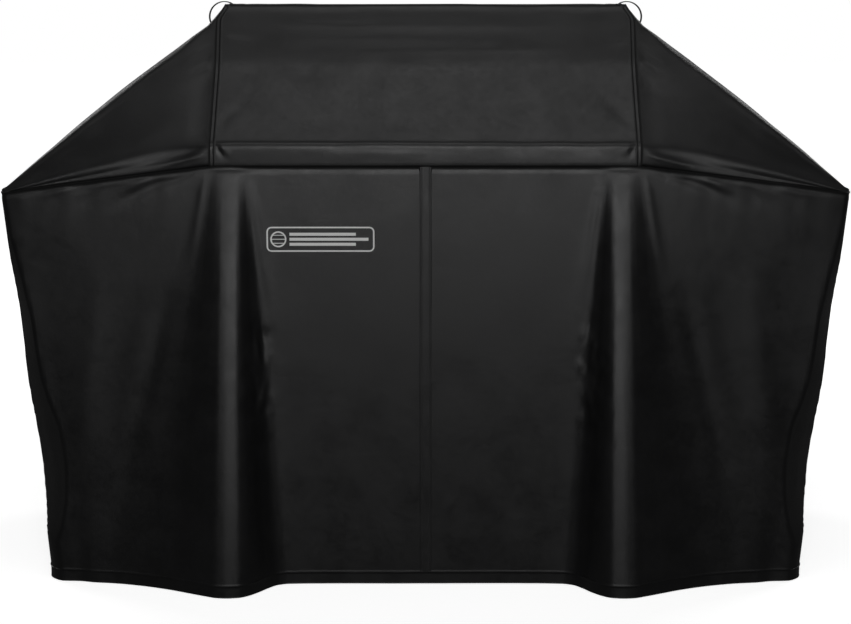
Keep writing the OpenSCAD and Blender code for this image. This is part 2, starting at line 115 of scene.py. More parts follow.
def paced(stops: Sequence[tuple[float, float]]) -> np.ndarray:
    """Positions from the first stop to the last, with a step of its own between each two stops.

    Args:
        stops: (position, step up to the next stop) in order.

    Returns:
        The positions, both ends included.
    """
    out = [stops[0][0]]
    for (a, step), (b, _) in zip(stops, stops[1:]):
        n = max(1, round(abs(b - a) / step))
        out += [a + (b - a) * k / n for k in range(1, n + 1)]
    return np.array(out)


def through(knots: np.ndarray, values: np.ndarray, at: np.ndarray) -> np.ndarray:
    """A smooth curve through values that never swings past them.

    Args:
        knots: Increasing positions of the values.
        values: One row of coordinates for each knot.
        at: Positions to read the curve at.

    Returns:
        One row of coordinates for each position.
    """
    values = np.asarray(values, float).reshape(len(knots), -1)
    h = np.diff(knots)[:, None]
    d = np.diff(values, axis=0) / h
    slope = np.zeros_like(values)
    same = d[:-1] * d[1:] > 0
    w1, w2 = 2 * h[1:] + h[:-1], h[1:] + 2 * h[:-1]
    with np.errstate(divide="ignore", invalid="ignore"):
        slope[1:-1] = np.where(same, (w1 + w2) / (w1 / d[:-1] + w2 / d[1:]), 0)
    slope[0], slope[-1] = d[0], d[-1]
    k = np.clip(np.searchsorted(knots, at, side="right") - 1, 0, len(knots) - 2)
    t = ((at - knots[k]) / h[k, 0])[:, None]
    a, b = values[k], values[k + 1]
    return (
        a * (1 + 2 * t) * (1 - t) ** 2
        + b * t * t * (3 - 2 * t)
        + h[k] * (slope[k] * t * (1 - t) ** 2 - slope[k + 1] * t * t * (1 - t))
    )


@dataclass(frozen=True)
class Ripple:
    """Smooth random height over a plane, the same each run for the same seed."""

    seed: int

    def __call__(self, u: np.ndarray, v: np.ndarray, size_u: float,
                 size_v: float | None = None) -> np.ndarray:
        """Height from -1 to 1 with humps about size_u by size_v across.

        Args:
            u: First coordinate in metres.
            v: Second coordinate in metres.
            size_u: Hump size along u.
            size_v: Hump size along v, the same as size_u if left out.

        Returns:
            The heights, shaped as u and v are.
        """
        grid = np.random.RandomState(self.seed).uniform(-1, 1, (64, 64))
        a, b = u / size_u + 31.7, v / (size_v or size_u) + 17.3
        i, j = np.floor(a).astype(int), np.floor(b).astype(int)
        s, t = a - i, b - j
        s, t = s * s * (3 - 2 * s), t * t * (3 - 2 * t)
        at = lambda p, q: grid[p % 64, q % 64]
        return (at(i, j) * (1 - s) + at(i + 1, j) * s) * (1 - t) + (
            at(i, j + 1) * (1 - s) + at(i + 1, j + 1) * s
        ) * t


@dataclass(frozen=True)
class Crease:
    """One soft fold in the cloth, a ridge (or, with a negative height, a valley) along a straight line.

    Its ends and its sizes are in millimetres, on the plane that the piece is laid out in.
    """

    start: tuple[float, float]
    end: tuple[float, float]
    width: float
    height: float
    lead: float = 0.25

    def over(self, a: np.ndarray, b: np.ndarray) -> np.ndarray:
        """The fold's height in metres at points (a, b), which are in metres too."""
        p = np.array(self.start) * MM
        d = np.array(self.end) * MM - p
        along = ((a - p[0]) * d[0] + (b - p[1]) * d[1]) / (d @ d)
        off = ((a - p[0]) * d[1] - (b - p[1]) * d[0]) / math.sqrt(d @ d)
        ends = smooth(-0.02, self.lead, along) * (1 - smooth(0.45, 1.05, along))
        grow = self.width * MM * (0.75 + 0.5 * np.clip(along, 0, 1))
        return self.height * MM * ends * np.exp(-((off / grow) ** 2))


def eased(grid: np.ndarray, amount: np.ndarray, rounds: int) -> np.ndarray:
    """Round a surface's sharp lines, row against row, leaving its first and last rows.

    Args:
        grid: Rows by columns of points.
        amount: How strongly each point moves towards its neighbours' middle, from 0 to 1.
        rounds: How many times.

    Returns:
        The eased points.
    """
    g = grid.copy()
    for _ in range(rounds):
        g[1:-1] += 0.5 * amount[1:-1, :, None] * (0.5 * (g[:-2] + g[2:]) - g[1:-1])
    return g


def normals_of(grid: np.ndarray) -> np.ndarray:
    """Unit normals of a grid of points, as columns cross rows."""
    du, dv = np.gradient(grid, axis=1), np.gradient(grid, axis=0)
    n = np.cross(du, dv)
    return n / np.maximum(np.linalg.norm(n, axis=2, keepdims=True), 1e-12)


# ---------------------------------------------------------------- meshes
def add_mesh(
    name: str,
    points: np.ndarray,
    faces: Sequence[Sequence[int]] | np.ndarray,
    uv: np.ndarray | None = None,
    marks: dict[str, np.ndarray] | None = None,
    flat: bool = False,
) -> bpy.types.Object:
    """A mesh object at the origin.

    Args:
        name: The piece's name.
        points: The corners, in metres.
        faces: Corner numbers of each face.
        uv: One texture position for each corner, in metres of cloth.
        marks: Named values for each corner, which a material can read.
        flat: True to leave the faces unsmoothed.

    Returns:
        The object.
    """
    mesh = bpy.data.meshes.new(name)
    mesh.from_pydata(np.asarray(points, float).tolist(), [], [list(map(int, f)) for f in faces])
    loops = np.empty(len(mesh.loops), int)
    mesh.loops.foreach_get("vertex_index", loops)
    if uv is not None:
        layer = mesh.uv_layers.new(name="UVMap")
        layer.data.foreach_set("uv", np.asarray(uv, np.float32)[loops].ravel())
    for key, values in (marks or {}).items():
        mesh.attributes.new(key, "FLOAT", "POINT").data.foreach_set("value",
                np.asarray(values, np.float32).ravel())
    mesh.polygons.foreach_set("use_smooth", [not flat] * len(mesh.polygons))
    mesh.update()
    obj = bpy.data.objects.new(name, mesh)
    bpy.context.scene.collection.objects.link(obj)
    return obj


def add_sheet(
    name: str,
    grid: np.ndarray,
    thick: float,
    turn: bool,
    marks: dict[str, np.ndarray] | None = None,
    open_at: np.ndarray | None = None,
) -> bpy.types.Object:
    """A closed sheet of cloth whose outer face is a grid of points.

    Args:
        name: The piece's name.
        grid: Rows by columns of points on the outer face.
        thick: The cloth's thickness in metres, taken inwards.
        turn: True where columns cross rows points inwards.
        marks: Named values for each grid point.
        open_at: True for each cell of the grid that is cut away.

    Returns:
        The object, with its texture positions measured along the cloth.
    """
    rows, cols = grid.shape[:2]
    n = rows * cols
    out = normals_of(grid) * (-1 if turn else 1)
    inner = grid - out * thick
    middle = grid[rows // 2]
    u = np.concatenate([[0], np.cumsum(np.linalg.norm(np.diff(middle, axis=0), axis=1))])
    column = grid[:, cols // 2]
    v = np.concatenate([[0], np.cumsum(np.linalg.norm(np.diff(column, axis=0), axis=1))])
    uv = np.stack(np.broadcast_arrays(u[None, :], -v[:, None]), axis=2).reshape(-1, 2)
    k = np.arange(n).reshape(rows, cols)
    face = np.stack([k[:-1, :-1], k[:-1, 1:], k[1:, 1:], k[1:, :-1]], axis=2).reshape(-1, 4)
    if open_at is not None:
        face = face[~open_at.ravel()]
    if turn:
        face = face[:, ::-1]
    edges = np.stack([face, np.roll(face, -1, axis=1)], axis=2).reshape(-1, 2)
    there, back = edges[:, 0] * n + edges[:, 1], edges[:, 1] * n + edges[:, 0]
    rim = edges[~np.isin(there, back)]
    ends, slots = np.unique(rim, return_inverse=True)
    slots = slots.reshape(rim.shape) + 2 * n
    wall = np.stack([slots[:, 1], slots[:, 0], slots[:, 0] + len(ends), slots[:, 1] + len(ends)], axis=1)
    flat, under = grid.reshape(-1, 3), inner.reshape(-1, 3)
    points = np.concatenate([flat, under, flat[ends], under[ends]])
    faces = np.concatenate([face, face[:, ::-1] + n, wall])
    keep = np.unique(faces)
    place = np.zeros(len(points), int)
    place[keep] = np.arange(len(keep))
    source = np.concatenate([np.arange(n), np.arange(n), ends, ends])[keep]
    more = {key: m.ravel()[source] for key, m in (marks or {}).items()}
    return add_mesh(name, points[keep], place[faces], uv[source], more)


# ---------------------------------------------------------------- finishes
class Tree:
    """A material's nodes, with short calls to add and join them."""

    def __init__(self, name: str) -> None:
        """Start a material of that name with a Principled shader."""
        self.material = bpy.data.materials.new(name)
        self.material.use_nodes = True
        self.nodes, self.links = self.material.node_tree.nodes, self.material.node_tree.links
        self.shader = next(n for n in self.nodes if n.type == "BSDF_PRINCIPLED")
        self.output = next(n for n in self.nodes if n.type == "OUTPUT_MATERIAL")

    def add(self, kind: str, **settings: object) -> bpy.types.Node:
        """A new node. Settings that name an input set it, and the others set the node's own property."""
        node = self.nodes.new(kind)
        for key, value in settings.items():
            if key in node.bl_rna.properties:
                setattr(node, key, value)
            else:
                node.inputs[key.replace("_", " ")].default_value = value
        return node

    def join(self, a: bpy.types.Node, out: str | int, b: bpy.types.Node, into: str | int) -> None:
        """Join an output to an input."""
        self.links.new(a.outputs[out], b.inputs[into])

    def maths(self, what: str, a: object, b: object = None, c: object = None) -> bpy.types.Node:
        """A Math node on numbers or on other nodes' first outputs."""
        node = self.nodes.new("ShaderNodeMath")
        node.operation = what
        for k, value in enumerate((a, b, c)):
            if isinstance(value, bpy.types.NodeSocket):
                self.links.new(value, node.inputs[k])
            elif isinstance(value, bpy.types.Node):
                self.links.new(value.outputs[0], node.inputs[k])
            elif value is not None:
                node.inputs[k].default_value = float(value)
        return node

    def spread(self, value: object, low: float, high: float, to_low: float,
               to_high: float) -> bpy.types.Node:
        """Map a range of values onto another, without going past its ends."""
        node = self.nodes.new("ShaderNodeMapRange")
        self.links.new(value if isinstance(value, bpy.types.NodeSocket) else value.outputs[0],
                       node.inputs[0])
        for k, v in enumerate((low, high, to_low, to_high), start=1):
            node.inputs[k].default_value = v
        return node

    def noise(self, place: bpy.types.NodeSocket, scale: float, detail: float = 2,
              rough: float = 0.5) -> bpy.types.Node:
        """A noise texture read at a place."""
        node = self.add("ShaderNodeTexNoise", Scale=scale, Detail=detail, Roughness=rough)
        self.links.new(place, node.inputs["Vector"])
        return node

    def colours(self, value: object, *stops: tuple[float, tuple[float, float, float]]) -> bpy.types.Node:
        """A colour ramp through (position, colour) stops."""
        node = self.nodes.new("ShaderNodeValToRGB")
        ramp = node.color_ramp
        while len(ramp.elements) < len(stops):
            ramp.elements.new(0.5)
        for element, (at, colour) in zip(ramp.elements, stops):
            element.position, element.color = at, (*colour, 1)
        self.links.new(value if isinstance(value, bpy.types.NodeSocket) else value.outputs[0],
                       node.inputs[0])
        return node

    def bumped(self, layers: Sequence[tuple[object, float]]) -> None:
        """Bump the shader by heights, each with its own depth in metres."""
        last = None
        for height, depth in layers:
            node = self.add("ShaderNodeBump", Strength=1.0, Distance=depth)
            self.links.new(height if isinstance(height, bpy.types.NodeSocket) else height.outputs[0],
                           node.inputs["Height"])
            if last is not None:
                self.join(last, "Normal", node, "Normal")
            last = node
        if last is not None:
            self.join(last, "Normal", self.shader, "Normal")


@dataclass(frozen=True)
class ClothFinish:
    """Coated woven polyester: threads, a cloudy coating and duller lines where it is sewn, with painted
    shade darkening the colour along those seam lines.
    """

    name: str
    colour: tuple[float, float, float]
    roughness: float
    thread: float = 1.1 * MM
    weave_depth: float = 0.06 * MM
    cloud_depth: float = 0.35 * MM

    def build(self) -> bpy.types.Material:
        """Make the material.

        Returns:
            The material, which reads UVMap in metres of cloth and the attribute called sewn, whose value
            darkens the colour as painted shade along seams and stitch lines.
        """
        t = Tree(self.name)
        uv = t.add("ShaderNodeUVMap", uv_map="UVMap")
        split = t.add("ShaderNodeSeparateXYZ")
        t.join(uv, 0, split, 0)
        place = t.add("ShaderNodeTexCoord").outputs["Object"]
        turn = math.pi / self.thread
        warp = t.maths("ABSOLUTE", t.maths("SINE", t.maths("MULTIPLY", split.outputs[0], turn)))
        weft = t.maths("ABSOLUTE", t.maths("SINE", t.maths("MULTIPLY", split.outputs[1], turn)))
        over = t.maths("MULTIPLY", t.maths("SINE", t.maths("MULTIPLY", split.outputs[0], turn)),
                       t.maths("SINE", t.maths("MULTIPLY", split.outputs[1], turn)))
        up = t.spread(over, -0.3, 0.3, 0, 1)
        weave = t.maths("ADD", t.maths("MULTIPLY", warp, up),
                        t.maths("MULTIPLY", weft, t.maths("SUBTRACT", 1.0, up)))
        cloud, fine, grain = t.noise(place, 16, 3, 0.55), t.noise(place, 90, 3, 0.6), t.noise(place, 600, 2,
                0.5)
        sewn = t.add("ShaderNodeAttribute", attribute_name="sewn")
        base = t.colours(cloud, (0.3, tuple(c * 0.85 for c in self.colour)),
                         (0.7, tuple(c * 1.15 for c in self.colour)))
        tint = t.add("ShaderNodeMix", data_type="RGBA", blend_type="MULTIPLY")
        tint.inputs[0].default_value = 1.0
        t.links.new(base.outputs[0], tint.inputs[6])
        # Painted shade: the sewn attribute darkens the cloth's colour to 0.12 along seams and stitch lines,
        # standing in for the shade in their grooves.
        seam_shade_tint = t.colours(t.spread(sewn.outputs["Fac"], 0, 1, 1, 0), (0.0, (0.12, 0.12, 0.12)),
                         (1.0, (1, 1, 1)))
        t.links.new(seam_shade_tint.outputs[0], tint.inputs[7])
        t.links.new(tint.outputs[2], t.shader.inputs["Base Color"])
        rough = t.maths("ADD", t.spread(cloud, 0.3, 0.7, self.roughness - 0.05, self.roughness + 0.05),
                        t.maths("MULTIPLY", t.spread(fine, 0.35, 0.65, -0.03, 0.03), 1.0))
        dull = t.maths("ADD", rough, t.maths("MULTIPLY", sewn.outputs["Fac"], 0.3))
        t.links.new(dull.outputs[0], t.shader.inputs["Roughness"])
        t.shader.inputs["Specular IOR Level"].default_value = 0.5
        t.shader.inputs["Sheen Weight"].default_value = 0.02
        t.shader.inputs["Sheen Roughness"].default_value = 0.4
        t.bumped([(cloud, self.cloud_depth * 0.9), (fine, self.cloud_depth * 0.5), (grain, 0.07 * MM),
                  (weave, self.weave_depth)])
        return t.material


@dataclass(frozen=True)
class WebbingFinish:
    """Ribbed polypropylene webbing or binding tape, with slanting yarns in each rib."""

    name: str
    colour: tuple[float, float, float]
    rib: float = 1.6 * MM
    depth: float = 0.25 * MM
    roughness: float = 0.55

    def build(self) -> bpy.types.Material:
        """Make the material, which reads UVMap in metres along and across the tape."""
        t = Tree(self.name)
        uv = t.add("ShaderNodeUVMap", uv_map="UVMap")
        split = t.add("ShaderNodeSeparateXYZ")
        t.join(uv, 0, split, 0)
        across = t.maths("ABSOLUTE",
                         t.maths("SINE", t.maths("MULTIPLY", split.outputs[1], math.pi / self.rib)))
        slant = t.maths("ADD", split.outputs[0], t.maths("MULTIPLY", across, 0.4 * self.rib))
        yarn = t.maths("ABSOLUTE", t.maths("SINE", t.maths("MULTIPLY", slant, math.pi / (0.9 * self.rib))))
        height = t.maths("MULTIPLY", t.maths("POWER", across, 0.6),
                         t.maths("ADD", 0.55, t.maths("MULTIPLY", yarn, 0.45)))
        fuzz = t.noise(t.add("ShaderNodeTexCoord").outputs["Object"], 900, 2, 0.6)
        # Painted shade: the colour darkens to 0.4 of the webbing's own colour in the grooves between the
        # ribs.
        shade = t.colours(height, (0.0, tuple(c * 0.4 for c in self.colour)), (0.8, self.colour))
        t.links.new(shade.outputs[0], t.shader.inputs["Base Color"])
        t.links.new(t.spread(fuzz, 0.3, 0.7, self.roughness - 0.08, self.roughness + 0.08).outputs[0],
                    t.shader.inputs["Roughness"])
        t.bumped([(height, self.depth), (fuzz, 0.05 * MM)])
        return t.material


@dataclass(frozen=True)
class MouldedFinish:
    """Moulded acetal: a fine spark-eroded grain with faint flow marks."""

    name: str
    colour: tuple[float, float, float]
    roughness: float = 0.38

    def build(self) -> bpy.types.Material:
        """Make the material."""
        t = Tree(self.name)
        place = t.add("ShaderNodeTexCoord").outputs["Object"]
        grain, flow = t.noise(place, 1500, 2, 0.6), t.noise(place, 45, 3, 0.5)
        t.links.new(t.spread(flow, 0.35, 0.65, self.roughness - 0.06, self.roughness + 0.06).outputs[0],
                    t.shader.inputs["Roughness"])
        shade = t.colours(flow, (0.3, tuple(c * 0.85 for c in self.colour)),
                          (0.7, tuple(c * 1.2 for c in self.colour)))
        t.links.new(shade.outputs[0], t.shader.inputs["Base Color"])
        t.bumped([(grain, 0.06 * MM), (flow, 0.05 * MM)])
        return t.material


@dataclass(frozen=True)
class PlainFinish:
    """A thread, a yarn or a printed ink: one colour with a fine uneven surface."""

    name: str
    colour: tuple[float, float, float]
    roughness: float = 0.5
    grain: float = 1200
    depth: float = 0.05 * MM

    def build(self) -> bpy.types.Material:
        """Make the material."""
        t = Tree(self.name)
        fine = t.noise(t.add("ShaderNodeTexCoord").outputs["Object"], self.grain, 3, 0.6)
        shade = t.colours(fine, (0.3, tuple(c * 0.88 for c in self.colour)), (0.7, self.colour))
        t.links.new(shade.outputs[0], t.shader.inputs["Base Color"])
        t.links.new(t.spread(fine, 0.3, 0.7, self.roughness - 0.07, self.roughness + 0.07).outputs[0],
                    t.shader.inputs["Roughness"])
        t.bumped([(fine, self.depth)])
        return t.material


@dataclass
class Finishes:
    """Every finish on the cover, made once."""

    cloth: bpy.types.Material = field(init=False)
    webbing: bpy.types.Material = field(init=False)
    moulded: bpy.types.Material = field(init=False)
    mesh: bpy.types.Material = field(init=False)
    print: bpy.types.Material = field(init=False)
    thread: bpy.types.Material = field(init=False)

    def __post_init__(self) -> None:
        """Make the materials."""
        self.cloth = ClothFinish("coated_cloth", (0.0048, 0.0048, 0.0051), 0.39).build()
        self.webbing = WebbingFinish("ribbed_webbing", (0.02, 0.02, 0.021)).build()
        self.moulded = MouldedFinish("moulded_acetal", (0.012, 0.012, 0.0125)).build()
        self.mesh = PlainFinish("mesh_yarn", (0.17, 0.175, 0.18), 0.5).build()
        self.print = PlainFinish("printed_ink", (0.93, 0.93, 0.92), 0.6, 800).build()
        self.thread = PlainFinish("sewing_thread", (0.02, 0.02, 0.021), 0.45, 2500, 0.03 * MM).build()


def dress(obj: bpy.types.Object, material: bpy.types.Material,
          body: str | None = "cover") -> bpy.types.Object:
    """Give a piece its finish and the body that it rides on, if just one."""
    obj.data.materials.clear()
    obj.data.materials.append(material)
    if body is not None:
        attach(obj, body)
    return obj


# ---------------------------------------------------------------- the cover's measures
@dataclass(frozen=True)
class Measures:
    """Sizes that the pieces share, in metres, read from the CAD nodes' boxes."""

    front_y: float
    rear_y: float
    waist_z: float
    shelf_z: float
    top_z: float
    hood_x: float
    top_x: float
    cut_z: float
    shelf_x: float
    shelf_front_y: float
    shelf_rear_y: float
    hem_x: float
    hem_h: float

    @classmethod
    def taken(cls) -> "Measures":
        """Read them from the frame."""
        _, top_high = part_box("hood_top_panel")
        face_low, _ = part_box("hood_front_panel")
        _, wing_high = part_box("right_wing_front_panel")
        side_low, side_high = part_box("right_side_skirt")
        _, hem_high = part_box("right_hem")
        return cls(
            front_y=face_low.y, rear_y=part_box("hood_rear_panel")[1].y, waist_z=face_low.z,
            shelf_z=side_high.z, top_z=top_high.z, hood_x=-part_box("hood_front_panel")[1].x,
            top_x=-top_high.x,
            cut_z=wing_high.z, shelf_x=-side_high.x,
            shelf_front_y=side_low.y, shelf_rear_y=side_high.y, hem_x=-hem_high.x, hem_h=hem_high.z,
        )

    def side_x(self, z: float) -> float:
        """The left side panel's outer face at height z."""
        return self.hem_x + (self.shelf_x - self.hem_x) * (z - self.hem_h) / (self.shelf_z - self.hem_h)


CLOTH = 1.3 * MM  # the sheets' own thickness
FELL = 5.5 * MM  # half a felled seam's width


def mirrored(grid: np.ndarray, side: Side) -> np.ndarray:
    """The left grid itself, or its mirror image for the right side."""
    return grid if side is Side.LEFT else grid * np.array([-1.0, 1, 1])


# ---------------------------------------------------------------- skirt
@dataclass
class Skirt:
    """The skirt: two front halves, two sides and two rear halves that hang from the waist and the shelves.

    It is laid out as lines that run from a point on the upper seam down to the ground, so that its corner
    ridges and the valleys beside them open out from the hood's corners as cloth does.
    """

    at: Measures
    finishes: Finishes
    column: float = 6 * MM
    row: float = 6 * MM
    corner_r: float = 50 * MM
    shelf_r: float = 15 * MM
    lip: float = 4 * MM

    # x on the upper seam, x at the hem, and how far the hem stands forward there, in millimetres
    FRONT_LINES = (
        (0, 0, 0), (150, 140, 0), (270, 232, 0.5), (326, 280, 3), (345, 302, 11), (356, 322, 33),
        (364, 343, 63),
        (370, 360, 82), (377, 376, 91), (388, 398, 93.5), (398, 418, 91), (406, 440, 81), (413, 476, 62),
        (420, 516, 41),
        (430, 553, 25), (462, 590, 12), (550, 632, 1), (665, 680, -6), (775, 712, -15),
    )
    REAR_OUT = 0.5

    def end_lines(self, end: End) -> tuple[list[list[float]], list[list[float]]]:
        """The lines of one end's left half, from the middle to where the side panel starts.

        Args:
            end: The front or the rear.

        Returns:
            The points on the upper seam and the points on the ground.
        """
        m, s = self.at, end.value
        seam_y = m.front_y if end is End.FRONT else m.rear_y
        shelf_y = m.shelf_front_y if end is End.FRONT else m.shelf_rear_y
        out = 1.0 if end is End.FRONT else self.REAR_OUT
        top, low = [], []
        for x, hem, forward in self.FRONT_LINES:
            f = max(0.0, x * MM + m.hood_x) / (m.hood_x - m.shelf_x)
            reach = forward * (out if forward > 0 else 1) * MM
            top.append([-x * MM, seam_y + f * (shelf_y - seam_y),
                        m.waist_z + f * (m.shelf_z - self.lip - m.waist_z)])
            low.append([-hem * MM, seam_y + s * reach, m.hem_h])
        for angle in (22, 45, 68, 90):
            a, r, q = math.radians(angle), self.corner_r, self.shelf_r
            top.append([m.shelf_x + q - q * math.sin(a), shelf_y - s * (q - q * math.cos(a)),
                        m.shelf_z - self.lip])
            low.append([m.hem_x + r - r * math.sin(a), shelf_y - s * (r - r * math.cos(a)), m.hem_h])
        return top, low

    def lines(self) -> tuple[np.ndarray, np.ndarray, np.ndarray, list[int]]:
        """All the left half's lines.

        Returns:
            Upper points, ground points, the distance of each line round the skirt, and the numbers of
            the lines
            at which the front half ends and the rear half starts.
        """
        m = self.at
        ft, fl = self.end_lines(End.FRONT)
        rt, rl = self.end_lines(End.REAR)
        side = [y for y in (m.shelf_front_y + 0.16, 0.02, m.shelf_rear_y - 0.16)]
        top = np.array(ft + [[m.shelf_x, y, m.shelf_z - self.lip] for y in side] + rt[::-1])
        low = np.array(fl + [[m.hem_x, y, m.hem_h] for y in side] + rl[::-1])
        step = 0.5 * (np.linalg.norm(np.diff(top, axis=0), axis=1) + np.linalg.norm(np.diff(low, axis=0),
                axis=1))
        middle = [len(ft) - 3, len(top) - len(rt) + 2]
        return top, low, np.concatenate([[0], np.cumsum(step)]), middle

    def folds(self, x: np.ndarray, z: np.ndarray, end: End, side: Side) -> np.ndarray:
        """Soft folds and puckers on one end's half.

        Args:
            x: Distance from the middle.
            z: Height.
            end: The front or the rear.
            side: Left or right, which changes the small ones.

        Returns:
            How far the cloth stands off its smooth shape, in metres.
        """
        wild = Ripple(11 + side.value + 5 * end.value)
        shift = 4 * side.value
        height = np.zeros_like(x)
        for fold in (
            Crease((446, 850), (560, 806 + shift), 9, 3.0), Crease((486, 846), (640, 770 + shift), 11, 3.4),
            Crease((540, 838), (610 + shift, 800), 8, -2.2), Crease((590, 832), (720, 760), 14, 2.0),
            Crease((640, 828), (700 + shift, 806), 7, 2.6), Crease((690, 822), (762, 792), 7, -2.4),
            Crease((722, 820), (778, 800), 6, 2.8), Crease((770, 814), (812, 794), 6, 2.4),
            Crease((346, 838), (300, 520), 10, -2.6), Crease((432, 850), (470, 640), 9, -2.0),
            Crease((330, 560), (318, 470), 6, 2.4), Crease((341, 520), (326, 430), 5, -2.2),
            Crease((352, 470), (332, 380), 6, 2.2), Crease((322, 430), (338, 340), 6, -2.0),
            Crease((505, 640), (655, 40), 24, 4.5), Crease((560, 700), (700, 40), 34, 3.0, 0.4),
            Crease((640, 700), (730, 80), 26, -2.5, 0.4),
        ):
            height += fold.over(x, z)
        seam_z = self.at.waist_z - np.clip(x + self.at.hood_x, 0, 1) * 0.118
        under = seam_z - z
        pucker = wild(x, z, 0.022, 0.09) * np.exp(-under / 0.035) * smooth(0.42, 0.5, x)
        height += 2.2 * MM * pucker + 0.7 * MM * wild(x + 3, z, 0.03, 0.06) * np.exp(-under / 0.02)
        height += 0.9 * MM * wild(x, z, 0.16, 0.30) + 0.35 * MM * Ripple(29)(x, z, 0.05, 0.11)
        crumple = hill(x, 0.335, 0.03) * smooth(0.20, 0.40, z) * (1 - smooth(0.50, 0.62, z))
        height += 2.2 * MM * crumple * wild(x, z, 0.016, 0.022)
        return height

    def kept_flat(self, y: np.ndarray, z: np.ndarray) -> np.ndarray:
        """Where a side panel is held flat, by its vent's binding and by its straps, from 0 to 1."""
        vent_low, vent_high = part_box("left_vent_binding")
        strap_low, strap_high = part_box("left_front_strap_patch")[0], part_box("left_rear_strap_patch")[1]
        out = np.zeros_like(y)
        for y0, y1, z0, z1 in (
            (vent_low.y, vent_high.y, vent_low.z, vent_high.z),
            (strap_low.y, strap_high.y, strap_low.z, strap_high.z),
        ):
            inside = np.minimum(np.minimum(y - y0, y1 - y), np.minimum(z - z0, z1 - z))
            out = np.maximum(out, smooth(-40 * MM, -3 * MM, inside))
        return out

    # height, and how far the corner is cut across in front of and behind its own middle, in millimetres
    CORNER_CUTS = (
        (0, 2, 2), (70, 6, 6), (120, 28, 30), (190, 50, 54), (260, 58, 64), (330, 54, 58), (390, 40, 46),
        (450, 32, 40),
        (500, 30, 44), (560, 30, 48), (620, 26, 40), (690, 20, 24), (760, 8, 10), (812, 2, 2),
    )

    def cut_across(self, grid: np.ndarray, distance: np.ndarray, at: np.ndarray) -> np.ndarray:
        """Pull the cloth straight across the side panel's corners, where it hangs slack.

        Args:
            grid: Rows by columns of points.
            distance: The columns' distances round the left half.
            at: The lines' distances.

        Returns:
            The grid with flat facets in place of the round corners.
        """
        fronts = len(self.FRONT_LINES)
        cuts = np.array(self.CORNER_CUTS, float) * MM
        grid = grid.copy()
        for middle, way in ((at[fronts + 1], 1), (at[len(at) - fronts - 2], -1)):
            for row in grid:
                z = float(np.median(row[:, 2]))
                ahead, behind = (float(v)
                                 for v in through(cuts[:, 0], cuts[:, 1:],
                                                  np.array([min(max(z, 0), 0.812)]))[0])
                first, last = sorted((middle - way * ahead, middle + way * behind))
                ends = np.array([[np.interp(d, distance, row[:, k]) for k in range(3)]
                                 for d in (first, last)])
                t = np.clip((distance - first) / (last - first), 0, 1)[:, None]
                inside = (distance > first) & (distance < last)
                facet = ends[0] * (1 - t) + ends[1] * t
                row[inside] = row[inside] * 0.06 + facet[inside] * 0.94
        return grid

    def surface(self, distance: np.ndarray, side: Side, drops_at: np.ndarray | None = None) -> np.ndarray:
        """The skirt's outer face along some of its columns.

        Args:
            distance: The columns' distances round the left half.
            side: Left or right.
            drops_at: Distances down from the waist at which to put the rows, or nothing for the usual ones.

        Returns:
            Rows of points from the upper seam down to the ground.
        """
        top, low, at, _ = self.lines()
        m, wanted = self.at, distance
        corners = [at[len(self.FRONT_LINES) + 1], at[len(at) - len(self.FRONT_LINES) - 2]]
        more = np.concatenate([np.arange(c - 0.16, c + 0.16, 5 * MM) for c in corners])
        more = more[np.abs(more[:, None] - wanted[None]).min(axis=1) > 1 * MM]
        distance = np.sort(np.concatenate([wanted, more]))
        upper, ground = through(at, top, distance), through(at, low, distance)
        drops = paced([(0, 1.5 * MM), (0.012, 3 * MM), (0.05, self.row), (m.waist_z - 0.045, self.row),
                       (m.waist_z - 0.036, 1.5 * MM), (m.waist_z, 0)])
        if drops_at is not None:
            drops = drops_at
        reach = m.waist_z - m.hem_h
        v = np.minimum(drops / reach, 1)[:, None, None]
        grid = upper[None] * (1 - v) + ground[None] * v
        grid[..., 2] -= np.maximum(drops - reach, 0)[:, None]
        y_grow = v[..., 0] ** 0.82
        grid[..., 1] = upper[None, :, 1] * (1 - y_grow) + ground[None, :, 1] * y_grow
        grid = self.cut_across(grid, distance, at)
        n = -normals_of(grid)
        x, y, z = -grid[..., 0], grid[..., 1], grid[..., 2]
        facing = smooth(0.35, 0.75, np.abs(n[..., 1]))
        end = np.where(y < 0, -1, 1)
        lift = np.where(end < 0, self.folds(x, z, End.FRONT, side),
                        self.folds(x, z, End.REAR, side)) * facing
        flat = self.kept_flat(y, z)
        slack = 2.6 * MM * Ripple(41 + side.value)(y, z, 0.10, 0.5) + 0.6 * MM * Ripple(43)(y, z, 0.05, 0.1)
        slack += 3 * MM * Ripple(47)(y, z, 0.2, 0.25) * smooth(0.02, 0.3, m.shelf_z - z)
        lift += (1 - facing) * slack * (1 - flat)
        held = smooth(0, 0.02, drops)[:, None]
        groove = np.minimum(drops, 1.0)[:, None] + 0 * x
        pinch = -1.2 * MM * np.exp(-((groove / (1.8 * MM)) ** 2)) + 1.0 * MM * hill(groove, 7 * MM,
                4.5 * MM)
        up = m.waist_z - drops[:, None] + 0 * x
        stitch = -0.7 * MM * hill(up, m.hem_h,
                                  1.8 * MM) + 0.5 * MM * (1 - smooth(m.hem_h - 2 * MM, m.hem_h, up))
        lift *= smooth(0.008, 0.07, x + (n[..., 1] ** 2 < 0.5))
        grid = grid + n * (lift * held * (0.6 + 0.4 * v[..., 0]) + pinch + stitch)[..., None]
        return mirrored(grid[:, np.searchsorted(distance, wanted)], side)

    def marks(self, grid: np.ndarray) -> dict[str, np.ndarray]:
        """How near each point is to a sewn line, from 0 to 1: the mask of painted seam shade that the cloth
        material darkens.
        """
        drops = np.linalg.norm(grid - grid[0][None], axis=2)
        up = grid[..., 2]
        sewn = 0.8 * np.exp(-((drops / (1.6 * MM)) ** 2)) + 0.55 * hill(up, self.at.hem_h, 1.8 * MM)
        return {"sewn": np.clip(sewn, 0, 1)}

